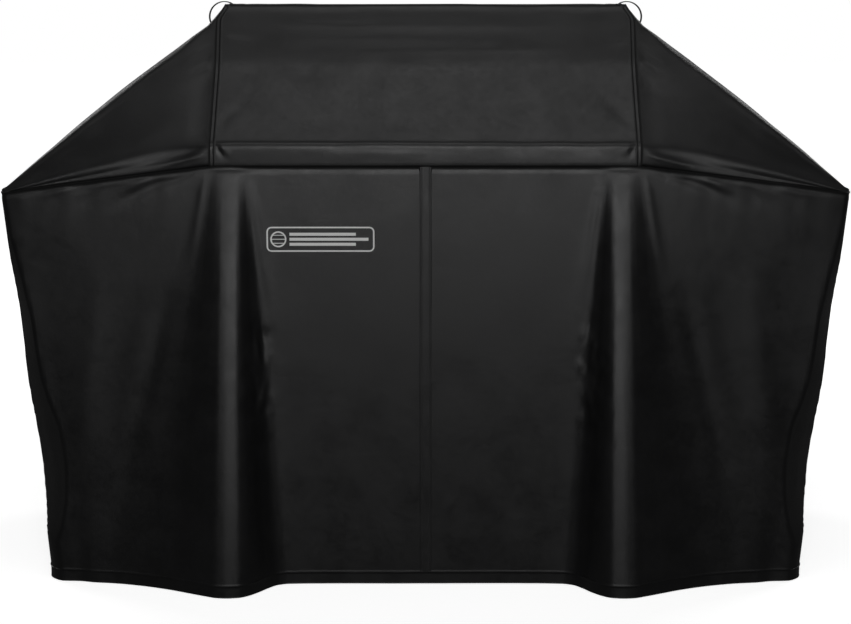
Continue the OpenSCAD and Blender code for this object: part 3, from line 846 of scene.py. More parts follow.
    def vent_window(self, grid: np.ndarray) -> np.ndarray:
        """The cells that are cut away behind a vent's binding."""
        low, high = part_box("left_vent_mesh")
        middle = 0.25 * (grid[:-1, :-1] + grid[1:, :-1] + grid[:-1, 1:] + grid[1:, 1:])
        over = 4 * MM
        inside = np.minimum(middle[..., 1] - low.y, high.y - middle[..., 1]) > -over
        return inside & (np.minimum(middle[..., 2] - low.z, high.z - middle[..., 2]) > -over)

    def build(self) -> None:
        """Make the six sheets."""
        _, _, at, (front, rear) = self.lines()
        ends = {"front_skirt": (0.0, at[front]), "side_skirt": (at[front], at[rear]),
                "rear_skirt": (at[rear], at[-1])}
        step = self.column
        columns = paced([(0, 1.3 * step), (at[3], 0.6 * step), (at[15], step), (at[front], step),
                         (at[rear], step), (at[-1], 0)])
        for side in Side:
            whole = self.surface(columns, side)
            for kind, (a, b) in ends.items():
                grid = whole[:, (columns > a - 1e-6) & (columns < b + 1e-6)]
                name = f"{side.label}_side_skirt" if kind == "side_skirt" else f"{kind}_{side.label}"
                window = self.vent_window(grid) if kind == "side_skirt" else None
                piece = add_sheet(name + "_sheet", grid, CLOTH, side is Side.LEFT, self.marks(grid), window)
                dress(piece, self.finishes.cloth)
                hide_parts(name)
                LOG.info("%s: %d points", piece.name, len(piece.data.vertices))


# ---------------------------------------------------------------- hood and wings
@dataclass
class Shell:
    """The hood box and the two wings, whose sections follow the same front and rear profiles."""

    at: Measures
    finishes: Finishes
    step: float = 6 * MM

    # y behind the waist seam and z above it, in millimetres, from the top edge down to the seam
    FRONT_PROFILE = (
        (190, 311.6), (182, 310.6), (176, 305), (163, 277), (145, 236), (126, 195), (89, 147), (48, 97),
        (17, 61),
        (5, 47.5), (-1.8, 42), (-3.6, 36), (-3.9, 22), (-3.6, 7), (-2.6, 1.6), (0.5, 0),
    )
    REAR_PROFILE = (
        (136, 311.6), (128, 310.6), (122, 305), (113, 280), (84, 210), (50, 132), (16, 50), (2, 15),
        (-2, 6), (0.5, 0),
    )

    def profile(self, end: End, along: np.ndarray | None = None) -> np.ndarray:
        """Points (y, z) from the top edge down to the waist seam.

        Args:
            end: The front or the rear.
            along: Positions from 0 to 1, or nothing for the profile's own spacing.

        Returns:
            One row for each position.
        """
        m = self.at
        knots = np.array(self.FRONT_PROFILE if end is End.FRONT else self.REAR_PROFILE, float) * MM
        y0 = m.front_y if end is End.FRONT else m.rear_y
        points = np.stack([y0 - end.value * knots[:, 0],
                           m.waist_z + knots[:, 1] * (m.top_z - m.waist_z) / 0.311], axis=1)
        far = np.concatenate([[0], np.cumsum(np.linalg.norm(np.diff(points, axis=0), axis=1))])
        if along is None:
            along = paced([(0, 2.5 * MM), (0.03, self.step), (far[-1] - 0.07, 3 * MM),
                           (far[-1] - 0.012, 1.2 * MM), (far[-1], 0)]) / far[-1]
        return through(far, points, np.asarray(along) * far[-1])

    def half_width(self, z: np.ndarray) -> np.ndarray:
        """Half the hood's width at a height, narrower above the cut corners."""
        m = self.at
        return -m.hood_x - (m.top_x - m.hood_x) * np.clip((z - m.cut_z) / (m.top_z - m.cut_z), 0, 1)

    def felled(self, inside: np.ndarray) -> tuple[np.ndarray, np.ndarray]:
        """A felled seam beside an edge.

        Args:
            inside: Distance from the edge.

        Returns:
            How far it stands off, and how near each point is to its sewn lines, the mask of painted seam
            shade.
        """
        lines = np.exp(-((inside / (1.9 * MM)) ** 2)) + 0.6 * hill(inside, 2 * FELL, 1.6 * MM)
        raised = smooth(0.5 * MM, 3 * MM, inside) * (1 - smooth(2 * FELL - 2 * MM, 2 * FELL, inside))
        return 0.9 * MM * raised - 1.3 * MM * lines, lines

    def face(self, end: End) -> bpy.types.Object:
        """The hood's sloping front or rear sheet."""
        m = self.at
        line = self.profile(end)
        w = -m.hood_x
        x = paced([(-w, 1.1 * MM), (-w + 0.016, 2.5 * MM), (-w + 0.03, self.step), (w - 0.03, 2.5 * MM),
                   (w - 0.016, 1.1 * MM), (w, 0)])
        width = self.half_width(line[:, 1])[:, None]
        grid = np.stack(np.broadcast_arrays(x[None] / w * width, line[:, :1], line[:, 1:]), axis=2)
        a, z = grid[..., 0], grid[..., 2]
        n = normals_of(grid) * end.value * -1
        edge = width - np.abs(a)
        felled, sewn = self.felled(edge)
        seam = z - m.waist_z
        inner = smooth(0, 0.05, edge) * smooth(0.004, 0.04, seam)
        lift = inner * (1.6 * MM * Ripple(3 + end.value)(a, z, 0.17, 0.09) + 0.7 * MM * Ripple(7)(a, z,
                0.06, 0.035))
        if end is End.FRONT:
            for fold in (
                Crease((-330, 1129), (395, 1127), 8, 1.3, 0.2),
                Crease((330, 1082), (-360, 1078), 10, 1.2, 0.2),
                Crease((-300, 1104), (300, 1106), 9, -0.9, 0.2),
                Crease((-412, 1102), (-340, 1092), 6, -1.2),
                Crease((412, 1098), (350, 1090), 6, 1.2), Crease((-418, 905), (-392, 868), 5, 1.4),
                Crease((-404, 902), (-384, 872), 4, -1.1), Crease((418, 905), (396, 868), 5, 1.4),
                Crease((404, 902), (382, 874), 4, -1.1), Crease((-200, 893), (60, 890), 6, 0.9, 0.4),
                Crease((-414, 930), (-330, 1010), 12, 1.6), Crease((414, 930), (322, 1020), 12, 1.5),
            ):
                lift += fold.over(a, z)
        lift += -0.8 * MM * np.exp(-((seam / (2.2 * MM)) ** 2))
        grid = grid + n * (lift + felled)[..., None]
        name = "hood_front_panel" if end is End.FRONT else "hood_rear_panel"
        # Painted shade mask: the felled seam lines and the waist seam, darkened in the cloth's colour.
        near = np.clip(sewn + 0.8 * np.exp(-((seam / (1.6 * MM)) ** 2)), 0, 1)
        piece = add_sheet(name + "_sheet", grid, CLOTH, end is End.REAR, {"sewn": near})
        return self.finish(piece, name)

    def top(self) -> bpy.types.Object:
        """The hood's top sheet, slack between its edges."""
        front, rear = self.profile(End.FRONT)[0], self.profile(End.REAR)[0]
        y = paced([(rear[0], 3 * MM), (rear[0] - 0.02, self.step), (front[0] + 0.02, 3 * MM),
                   (front[0], 0)])
        w = float(self.half_width(front[1:2])[0])
        x = paced([(-w, 1.2 * MM), (-w + 0.016, self.step), (w - 0.016, 1.2 * MM), (w, 0)])
        grid = np.stack(np.broadcast_arrays(x[None], y[:, None], 0.0 * x[None] + front[1]), axis=2).copy()
        edge = np.minimum(w - np.abs(grid[..., 0]), 1)
        rim = np.minimum(edge, np.minimum(grid[..., 1] - front[0], rear[0] - grid[..., 1]))
        felled, sewn = self.felled(edge)
        sag = smooth(0, 0.09, rim)
        grid[..., 2] += felled - 3.5 * MM * sag + sag * 1.5 * MM * Ripple(9)(grid[..., 0], grid[..., 1],
                0.14, 0.07)
        # The sewn mark paints shade into the colour along the felled seam lines.
        piece = add_sheet("hood_top_panel_sheet", grid, CLOTH, False, {"sewn": np.clip(sewn, 0, 1)})
        return self.finish(piece, "hood_top_panel")

    def wing(self, side: Side) -> bpy.types.Object:
        """One wing: a sheet that rolls over from the shelf's top to its front and rear.

        Args:
            side: Left or right.

        Returns:
            The wing, which stands for its three CAD panels.
        """
        m, roll, lip = self.at, 8 * MM, Skirt.lip
        rear, front = self.profile(End.REAR)[::-1], self.profile(End.FRONT)
        flat = paced([(rear[-1, 0], self.step), (front[0, 0], 0)])[1:-1]
        inner = np.concatenate([rear, np.stack([flat, 0 * flat + front[0, 1]], axis=1), front])
        tall = m.top_z - m.waist_z
        down = np.clip((m.cut_z - inner[:, 1]) / (m.cut_z - m.waist_z), 0, 1)
        share = np.clip((inner[:, 0] - front[0, 0]) / (rear[-1, 0] - front[0, 0]), 0, 1)
        out_y = (m.shelf_front_y + 6 * MM) * (1 - share) + (m.shelf_rear_y - 6 * MM) * share
        out_y += np.where(share < 0.5, -1, 1) * 6 * MM * smooth(0, 1, down)
        out_z = m.shelf_z + lip - 2 * lip * smooth(0, 1, down)
        w = paced([(0, 1.2 * MM / 0.42), (0.03, 3 * MM / 0.42), (0.08, 7 * MM / 0.42), (1, 0)])
        x0 = -self.half_width(inner[:, 1])
        ruled = np.stack([
            x0[:, None] * (1 - w) + (m.shelf_x + roll) * w,
            inner[:, :1] * (1 - w) + out_y[:, None] * w,
            inner[:, 1:] * (1 - w) + out_z[:, None] * w,
        ], axis=2)
        chamfer = np.clip((inner[:, 1] - m.cut_z) / (m.top_z - m.cut_z), 0, 1)[:, None]
        fall = np.clip(1 - w / 0.04, 0, 1)[None]
        ruled[..., 0] += chamfer * (1 - fall - w) * (m.hood_x - m.top_x)
        ruled[..., 2] -= chamfer * (1 - fall - w) * (m.top_z - m.cut_z)
        eased_to = 0.08 + 0.92 * smooth(0.0, 0.22, w)[None] * np.ones((len(inner), 1))
        ruled = eased(ruled, eased_to, 140)
        arc = np.linspace(0, math.pi / 2, 7)[1:]
        last = ruled[:, -1]
        edge_y = np.clip(last[:, 1], m.shelf_front_y + 15 * MM, m.shelf_rear_y - 15 * MM)
        turned = np.stack([
            np.broadcast_to(m.shelf_x + roll * (1 - np.sin(arc)), (len(last), len(arc))),
            last[:, 1:2] + (edge_y - last[:, 1])[:, None] * (1 - np.cos(arc)),
            last[:, 2:3] - (last[:, 2] - (m.shelf_z - lip))[:, None] * (1 - np.cos(arc)),
        ], axis=2)
        grid = np.concatenate([ruled, turned], axis=1)
        n = normals_of(grid)
        n *= np.sign(n[len(inner) // 2, 4, 2])
        x, y, z = grid[..., 0], grid[..., 1], grid[..., 2]
        far = np.concatenate([w, np.full(len(arc), 1.0)])[None] * 0.42
        wild = Ripple(61 + side.value)
        held = smooth(0, 0.05, far) * (1 - smooth(0.40, 0.42, far))
        ends = np.minimum(np.arange(len(inner)), np.arange(len(inner))[::-1])[:, None] / len(inner)
        held = held * smooth(0.0, 0.05, ends)
        level = (chamfer > 0) * 1.0
        lift = held * (9 * MM * np.sin(math.pi * np.clip(far / 0.42, 0, 1)) * smooth(0.2, 0.7, n[..., 2])
                       + 1.6 * MM * wild(far + 0 * y, y, 0.2, 0.07) + 0.6 * MM * wild(far + 2 + 0 * y, y,
                               0.07, 0.03))
        for fold in (
            Crease((430, 1092), (500, 1046), 6, 1.8), Crease((430, 1070), (484, 1030), 5, -1.5),
            Crease((432, 1050), (470, 1024), 5, 1.4), Crease((428, 890), (640, 852), 8, -1.4),
            Crease((430, 880), (560, 846), 6, 1.2), Crease((640, 930), (800, 836), 12, 1.4),
        ):
            lift = lift + fold.over(-x, z) * (y < 0)
        seam = self.edge_distance(grid)
        felled = -1.3 * MM * np.exp(-((np.minimum(far, 1) / (1.9 * MM)) ** 2)) * level * 0.5
        lift = lift - 1.2 * MM * np.exp(-((seam / (2.2 * MM)) ** 2)) + felled
        grid = mirrored(grid + n * lift[..., None], side)
        # Painted shade mask: the wing's seam edges, darkened in the cloth's colour.
        near = np.clip(np.exp(-((seam / (2.4 * MM)) ** 2)) + np.exp(-((far / (2.2 * MM)) ** 2)), 0, 1)
        piece = add_sheet(f"{side.label}_wing_sheet", grid, CLOTH, side is Side.RIGHT, {"sewn": near})
        dress(piece, self.finishes.cloth)
        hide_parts(*(f"{side.label}_wing_{k}_panel" for k in ("top", "front", "rear")))
        LOG.info("%s: %d points, %.0f mm tall", piece.name, len(piece.data.vertices), tall / MM)
        return piece

    @staticmethod
    def edge_distance(grid: np.ndarray) -> np.ndarray:
        """Distance of each point from the grid's first and last rows and from its last column."""
        a = np.linalg.norm(grid - grid[:1], axis=2)
        b = np.linalg.norm(grid - grid[-1:], axis=2)
        c = np.linalg.norm(grid - grid[:, -1:], axis=2)
        return np.minimum(np.minimum(a, b), c)

    def finish(self, piece: bpy.types.Object, node: str) -> bpy.types.Object:
        dress(piece, self.finishes.cloth)
        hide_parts(node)
        LOG.info("%s: %d points", piece.name, len(piece.data.vertices))
        return piece

    def build(self) -> None:
        """Make the hood's three sheets and both wings."""
        self.face(End.FRONT)
        self.face(End.REAR)
        self.top()
        for side in Side:
            self.wing(side)


# ---------------------------------------------------------------- tape, webbing and stitches
def lengths(path: np.ndarray) -> np.ndarray:
    """Distance along a path at each of its points."""
    return np.concatenate([[0], np.cumsum(np.linalg.norm(np.diff(path, axis=0), axis=1))])


def resampled(path: np.ndarray, step: float) -> np.ndarray:
    """The same path with evenly spaced points."""
    far = lengths(path)
    at = np.linspace(0, far[-1], max(2, round(far[-1] / step) + 1))
    return np.stack([np.interp(at, far, path[:, k]) for k in range(3)], axis=1)


def add_ribbon(name: str, path: np.ndarray, across: np.ndarray, width: float,
               thick: float) -> bpy.types.Object:
    """Flat tape with rounded edges along a path.

    Args:
        name: The piece's name.
        path: Points on the tape's middle line.
        across: Direction across the tape, one for all points or one for each.
        width: The tape's width.
        thick: The tape's thickness.

    Returns:
        The object, with texture positions along and across the tape.
    """
    across = np.broadcast_to(across, path.shape).astype(float)
    along = np.gradient(path, axis=0)
    along /= np.linalg.norm(along, axis=1, keepdims=True)
    up = np.cross(along, across)
    up /= np.linalg.norm(up, axis=1, keepdims=True)
    h, q = width / 2, thick / 2
    section = [(-h, 0), (-h + 0.25 * q, 0.75 * q), (-h + q, q)]
    section += [(x, q) for x in np.linspace(-h + q, h - q, 7)[1:-1]]
    section += [(h - q, q), (h - 0.25 * q, 0.75 * q), (h, 0), (h - 0.25 * q, -0.75 * q), (h - q, -q)]
    section += [(x, -q) for x in np.linspace(h - q, -h + q, 7)[1:-1]]
    section += [(-h + q, -q), (-h + 0.25 * q, -0.75 * q)]
    ring = np.array(section)
    m, n = len(ring), len(path)
    points = path[:, None] + across[:, None] * ring[None, :, :1] + up[:, None] * ring[None, :, 1:]
    far = lengths(path)
    uv = np.stack(np.broadcast_arrays(far[:, None], ring[None, :, 0]), axis=2).reshape(-1, 2)
    faces = []
    for i in range(n - 1):
        for j in range(m):
            a, b = i * m + j, i * m + (j + 1) % m
            faces.append((a, b, b + m, a + m))
    faces += [tuple(range(m))[::-1], tuple(range((n - 1) * m, n * m))]
    obj = add_mesh(name, points.reshape(-1, 3), faces, uv)
    return outward(obj)


def outward(obj: bpy.types.Object) -> bpy.types.Object:
    """Turn a closed mesh's faces outwards."""
    shape = bmesh.new()
    shape.from_mesh(obj.data)
    bmesh.ops.recalc_face_normals(shape, faces=shape.faces)
    shape.to_mesh(obj.data)
    shape.free()
    return obj


@dataclass
class Stitching:
    """Lockstitch lines: short threads set along seam paths by Geometry Nodes."""

    finishes: Finishes
    pitch: float = 4.2 * MM
    thread: float = 0.42 * MM
    tree: bpy.types.NodeTree = field(init=False)

    def __post_init__(self) -> None:
        """Build the node tree with its pitch, length and radius as inputs."""
        tree = bpy.data.node_groups.new("stitch_line", "GeometryNodeTree")
        face = tree.interface
        face.new_socket("Geometry", in_out="INPUT", socket_type="NodeSocketGeometry")
        for name, value in (("Pitch", self.pitch), ("Length", 0.7 * self.pitch), ("Radius", self.thread)):
            face.new_socket(name, in_out="INPUT", socket_type="NodeSocketFloat").default_value = value
        face.new_socket("Thread", in_out="INPUT", socket_type="NodeSocketMaterial")
        face.new_socket("Geometry", in_out="OUTPUT", socket_type="NodeSocketGeometry")
        new, link = tree.nodes.new, tree.links.new
        source, sink = new("NodeGroupInput"), new("NodeGroupOutput")
        curve, points, place = (
            new("GeometryNodeMeshToCurve"),
            new("GeometryNodeCurveToPoints"),
            new("GeometryNodeInstanceOnPoints"),
        )
        points.mode = "LENGTH"
        bead = new("GeometryNodeMeshCylinder")
        bead.inputs["Vertices"].default_value = 6
        bead.inputs["Side Segments"].default_value = 3
        real, paint, soft = (
            new("GeometryNodeRealizeInstances"),
            new("GeometryNodeSetMaterial"),
            new("GeometryNodeSetShadeSmooth"),
        )
        link(source.outputs["Geometry"], curve.inputs[0])
        link(curve.outputs[0], points.inputs["Curve"])
        link(source.outputs["Pitch"], points.inputs["Length"])
        link(points.outputs["Points"], place.inputs["Points"])
        link(points.outputs["Rotation"], place.inputs["Rotation"])
        link(source.outputs["Length"], bead.inputs["Depth"])
        link(source.outputs["Radius"], bead.inputs["Radius"])
        link(bead.outputs["Mesh"], place.inputs["Instance"])
        link(place.outputs[0], real.inputs[0])
        link(real.outputs[0], soft.inputs[0])
        link(soft.outputs[0], paint.inputs["Geometry"])
        link(source.outputs["Thread"], paint.inputs["Material"])
        link(paint.outputs[0], sink.inputs[0])
        self.tree = tree

    def sew(self, name: str, paths: Sequence[np.ndarray], slot: str = "seam_band",
            body: str = "cover") -> bpy.types.Object:
        """Sew along paths.

        Args:
            name: The piece's name.
            paths: Points along each line, on the cloth's face.
            slot: Not used.
            body: The body that the stitches ride on.

        Returns:
            The stitches as one plain mesh.
        """
        mesh = bpy.data.meshes.new(name)
        points, edges = [], []
        for path in paths:
            first = len(points)
            points += path.tolist()
            edges += [(first + k, first + k + 1) for k in range(len(path) - 1)]
        mesh.from_pydata(points, edges, [])
        guide = bpy.data.objects.new(name + "_line", mesh)
        bpy.context.scene.collection.objects.link(guide)
        modifier = guide.modifiers.new("stitches", "NODES")
        modifier.node_group = self.tree
        wanted = {"Pitch": self.pitch, "Length": 0.7 * self.pitch, "Radius": self.thread,
                  "Thread": self.finishes.thread}
        for item in self.tree.interface.items_tree:
            if item.in_out == "INPUT" and item.name in wanted:
                modifier[item.identifier] = wanted[item.name]
        bpy.context.view_layer.update()
        graph = bpy.context.evaluated_depsgraph_get()
        made = bpy.data.meshes.new_from_object(guide.evaluated_get(graph))
        bpy.data.objects.remove(guide)
        obj = bpy.data.objects.new(name, made)
        bpy.context.scene.collection.objects.link(obj)
        LOG.info("%s: %d faces", name, len(made.polygons))
        return dress(obj, self.finishes.thread, body)


@dataclass
class SewnEdges:
    """The folded hem, the felled centre seams and the stitch lines that run along them."""

    at: Measures
    finishes: Finishes
    skirt: Skirt
    stitching: Stitching
    lines: dict[str, list[np.ndarray]] = field(default_factory=lambda: {"hem": [], "waist": [],
            "centre": []})

    def hem(self) -> None:
        """Fold a band of cloth round the bottom of the skirt, in the four lengths that the CAD has."""
        m, skirt = self.at, self.skirt
        _, _, at, (front, rear) = skirt.lines()
        rows = paced([(m.waist_z - m.hem_h - 1 * MM, 1.5 * MM), (m.waist_z - m.hem_h + 4 * MM, 5 * MM),
                      (m.waist_z - 4 * MM, 1.5 * MM), (m.waist_z, 0)])
        for name, a, b in (("front_hem", 0.0, at[front]), ("rear_hem", at[rear], at[-1]),
                           ("side", at[front], at[rear])):
            step = 5 * MM
            halves = {side: skirt.surface(paced([(a, step), (b, 0)]), side, rows) for side in Side}
            if name == "side":
                bands = {f"{s.label}_hem": (halves[s], s is Side.LEFT) for s in Side}
            elif name == "front_hem":
                bands = {name: (np.concatenate([halves[Side.RIGHT][:, ::-1], halves[Side.LEFT][:, 1:]],
                                               axis=1), True)}
            else:
                bands = {name: (np.concatenate([halves[Side.LEFT], halves[Side.RIGHT][:, ::-1][:, 1:]],
                                               axis=1), True)}
            for label, (grid, turn) in bands.items():
                out = normals_of(grid) * (-1 if turn else 1)
                share = np.linspace(0, 1, len(rows))[:, None]
                puff = 0.9 * MM * smooth(0, 0.12,
                                         share) * (0.8 + 0.2 * Ripple(5)(grid[..., 0], grid[..., 1], 0.03))
                puff -= 0.7 * MM * smooth(0.86, 1.0, share)
                grid = grid + out * puff[..., None]
                # Painted shade mask: the hem's stitch line, darkened in the cloth's colour.
                near = 0.5 * hill(share + 0 * grid[..., 0], 0.1, 0.05)
                piece = add_sheet(label + "_band", grid, 2.8 * MM, turn, {"sewn": near})
                dress(piece, self.finishes.cloth)
                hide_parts(label)
                self.lines["hem"].append(grid[3] + out[3] * 0.5 * MM)

    def centre(self, end: End) -> None:
        """Lay the felled strip that joins an end's two halves."""
        m = self.at
        half = 11.5 * MM
        x = paced([(-half - 1 * MM, 0.8 * MM), (-half + 4 * MM, 2 * MM), (half - 4 * MM, 0.8 * MM),
                   (half + 1 * MM, 0)])
        y0 = m.front_y if end is End.FRONT else m.rear_y
        z = paced([(m.waist_z - 1.5 * MM, 2 * MM), (m.waist_z - 0.02, 7 * MM), (m.hem_h - 3 * MM, 0)])
        raised = 1.5 * MM * smooth(0, 2.2 * MM, half + 1 * MM - np.abs(x)) - 0.5 * MM * hill(np.abs(x),
                7.5 * MM, 1.4 * MM)
        grid = np.stack(np.broadcast_arrays(x[None], y0 + 0 * x[None], z[:, None]), axis=2).copy()
        wander = 0.7 * MM * Ripple(71)(z, 0 * z, 0.09)[:, None]
        grid[..., 0] += wander
        grid[..., 1] += end.value * (raised[None] - 0.4 * MM + 0.25 * MM * Ripple(73)(grid[..., 0],
                grid[..., 2], 0.01, 0.03))
        # Painted shade mask: the strip's edges and stitch lines, darkened in the cloth's colour.
        near = np.exp(-(((half + 0.6 * MM - np.abs(x)) / (1.5 * MM)) ** 2)) + 0.4 * hill(np.abs(x),
                7.5 * MM, 1.2 * MM)
        name = "front_centre_seam" if end is End.FRONT else "rear_centre_seam"
        piece = add_sheet(name + "_strip", grid, 0.9 * MM, end is End.REAR,
                          {"sewn": np.broadcast_to(np.clip(near, 0, 1), grid.shape[:2])})
        dress(piece, self.finishes.cloth)
        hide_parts(name)
        for side in (-1, 1):
            line = np.stack([side * 7.5 * MM + wander[:, 0], y0 + end.value * 0.95 * MM + 0 * z, z], axis=1)
            self.lines["centre"].append(line)

    def build(self) -> None:
        """Make the hem, the centre seams and their stitches."""
        self.hem()
        for end in End:
            self.centre(end)
        _, _, at, _ = self.skirt.lines()
        m = self.at
        rows = np.array([4.6 * MM, 6 * MM, m.waist_z - m.hem_h - 2 * MM, m.waist_z - 1 * MM])
        for side in Side:
            grid = self.skirt.surface(paced([(0, 5 * MM), (at[-1], 0)]), side, rows)
            out = normals_of(grid)[0] * (-1 if side is Side.LEFT else 1)
            self.lines["waist"].append(grid[0] + out * 0.25 * MM)
        for name, paths in self.lines.items():
            self.stitching.sew(f"{name}_stitches", paths)


# ---------------------------------------------------------------- fittings on the side panels
@dataclass(frozen=True)
class PanelPlace:
    """A place on a side panel: X runs forward, Y up the panel and Z outwards, as in the CAD."""

    at: Measures
    side: Side
    y: float
    z: float

    def world(self, local: Sequence[Sequence[float]] | np.ndarray) -> np.ndarray:
        """Points given on the panel, in metres in the shared frame."""
        p = np.asarray(local, float).reshape(-1, 3)
        return self.turned(p) + np.array([-self.side.value * self.at.side_x(self.z), self.y, self.z])

    def turned(self, local: Sequence[Sequence[float]] | np.ndarray) -> np.ndarray:
        """Directions given on the panel, in the shared frame."""
        m = self.at
        tilt = math.atan2(m.hem_x - m.shelf_x, m.shelf_z - m.hem_h)
        p = np.asarray(local, float).reshape(-1, 3)
        x = -math.sin(tilt) * p[:, 1] - math.cos(tilt) * p[:, 2]
        z = math.cos(tilt) * p[:, 1] - math.sin(tilt) * p[:, 2]
        return np.stack([x * -self.side.value, -p[:, 0], z], axis=1)


@dataclass
class Vent:
    """A knitted mesh vent: upright ribs crossed by finer yarns, behind a bound edge."""

    at: Measures
    finishes: Finishes
    skirt: Skirt
    side: Side
    rib_gap: float = 3.0 * MM
    rib_r: float = 0.95 * MM
    yarn_gap: float = 3.4 * MM
    yarn_r: float = 0.45 * MM
    bind_w: float = 10 * MM
    cloth: Landing | None = None

    def row(self, name: str, count: int, gap: tuple[float, float, float], radius: float, length: float,
            up: bool) -> bpy.types.Object:
        """A row of yarns by Geometry Nodes, centred on the origin of the panel's axes.

        Args:
            name: The piece's name.
            count: How many yarns.
            gap: The step from one to the next.
            radius: A yarn's radius.
            length: A yarn's length.
            up: True where the yarns run up the panel, and False where they run along it.

        Returns:
            The row as a plain mesh, not placed yet.
        """
        tree = bpy.data.node_groups.new("yarn_row", "GeometryNodeTree")
        face, new, link = tree.interface, tree.nodes.new, tree.links.new
        for label, kind in (("Count", "Int"), ("Gap", "Vector"), ("Radius", "Float"), ("Length", "Float"),
                            ("Yarn", "Material")):
            face.new_socket(label, in_out="INPUT", socket_type=f"NodeSocket{kind}")
        face.new_socket("Geometry", in_out="OUTPUT", socket_type="NodeSocketGeometry")
        source, sink = new("NodeGroupInput"), new("NodeGroupOutput")
        line, rod, place = (
            new("GeometryNodeMeshLine"),
            new("GeometryNodeMeshCylinder"),
            new("GeometryNodeInstanceOnPoints"),
        )
        real, paint, soft = (
            new("GeometryNodeRealizeInstances"),
            new("GeometryNodeSetMaterial"),
            new("GeometryNodeSetShadeSmooth"),
        )
        rod.inputs["Vertices"].default_value = 8
        place.inputs["Rotation"].default_value = (math.radians(90), 0, 0) if up else (0, math.radians(90),
                0)
        link(source.outputs["Count"], line.inputs["Count"])
        link(source.outputs["Gap"], line.inputs["Offset"])
        link(source.outputs["Radius"], rod.inputs["Radius"])
        link(source.outputs["Length"], rod.inputs["Depth"])
        link(line.outputs[0], place.inputs["Points"])
        link(rod.outputs["Mesh"], place.inputs["Instance"])
        link(place.outputs[0], real.inputs[0])
        link(real.outputs[0], soft.inputs[0])
        link(soft.outputs[0], paint.inputs["Geometry"])
        link(source.outputs["Yarn"], paint.inputs["Material"])
        link(paint.outputs[0], sink.inputs[0])
        host = bpy.data.objects.new(name + "_host", bpy.data.meshes.new(name + "_host"))
        bpy.context.scene.collection.objects.link(host)
        modifier = host.modifiers.new("yarns", "NODES")
        modifier.node_group = tree
        wanted = {"Count": count, "Gap": gap, "Radius": radius, "Length": length,
                  "Yarn": self.finishes.mesh}
        for item in tree.interface.items_tree:
            if item.in_out == "INPUT":
                modifier[item.identifier] = wanted[item.name]
        bpy.context.view_layer.update()
        made = bpy.data.meshes.new_from_object(host.evaluated_get(bpy.context.evaluated_depsgraph_get()))
        bpy.data.objects.remove(host)
        points = np.empty(len(made.vertices) * 3, np.float32)
        made.vertices.foreach_get("co", points)
        points = points.reshape(-1, 3).astype(float) - 0.5 * (count - 1) * np.array(gap)
        faces = [list(f.vertices) for f in made.polygons]
        obj = outward(add_mesh(name, self.on_cloth(points), faces))
        return dress(obj, self.finishes.mesh)

    def on_cloth(self, local: np.ndarray) -> np.ndarray:
        """Points given about the vent's middle on the panel, moved in or out as the cloth is there."""
        low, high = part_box(f"{self.side.label}_vent_mesh")
        place = PanelPlace(self.at, self.side, 0.5 * (low.y + high.y), 0.5 * (low.z + high.z))
        if self.cloth is None:
            _, _, at, (front, rear) = self.skirt.lines()
            grid = self.skirt.surface(np.arange(at[front] + 0.01, 0.5 * (at[front] + at[rear]) + 0.2,
                                                8 * MM), self.side)
            rows, cols = grid.shape[:2]
            faces = [(i * cols + j, i * cols + j + 1, (i + 1) * cols + j + 1, (i + 1) * cols + j)
                     for i in range(rows - 1) for j in range(cols - 1)]
            self.cloth = Landing(BVHTree.FromPolygons([Vector(p) for p in grid.reshape(-1, 3)], faces))
        feet = local * np.array([1, 1, 0])
        foot, inward = place.world(feet), -place.turned([(0, 0, 1)])[0]
        return place.world(local) + self.cloth.drop(foot, inward, 0.1) - foot

    def build(self) -> None:
        """Make the mesh and its binding."""
        low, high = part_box(f"{self.side.label}_vent_mesh")
        long, tall = high.y - low.y, high.z - low.z
        over = 5 * MM
        label = self.side.label
        count = round((long + over) / self.rib_gap)
        ribs = self.row(f"{label}_vent_ribs", count, (self.rib_gap, 0, 0), self.rib_r, tall + over, True)
        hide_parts(f"{label}_vent_mesh")
        count = round((tall + over) / self.yarn_gap)
        self.row(f"{label}_vent_yarns", count, (0, self.yarn_gap, 0), self.yarn_r, long + over, False)
        a, b, r = long / 2 + self.bind_w / 2, tall / 2 + self.bind_w / 2, 4.5 * MM
        path, across = [], []
        for cx, cy, turn in ((a - r, b - r, 0), (r - a, b - r, 90), (r - a, r - b, 180),
                             (a - r, r - b, 270)):
            for angle in np.radians(np.linspace(turn, turn + 90, 7)):
                path.append((cx + r * math.cos(angle), cy + r * math.sin(angle), 0.9 * MM))
                across.append((math.cos(angle), math.sin(angle), 0))
        path, across = np.array(path + path[:1]), np.array(across + across[:1])
        far = lengths(path)
        even = np.concatenate([np.linspace(p, q, max(2, math.ceil((q - p) / (8 * MM)) + 1))[:-1] for p,
                               q in zip(far[:-1], far[1:])] + [far[-1:]])
        path, across = (np.stack([np.interp(even, far, a[:, k]) for k in range(3)], axis=1)
                        for a in (path, across))
        middle, outer = self.on_cloth(path), self.on_cloth(path + across * MM)
        turned = (outer - middle) / np.linalg.norm(outer - middle, axis=1, keepdims=True)
        tape = add_ribbon(f"{label}_vent_binding_tape", middle, turned, self.bind_w, 2.0 * MM)
        dress(tape, self.finishes.webbing)
        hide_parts(f"{label}_vent_binding")


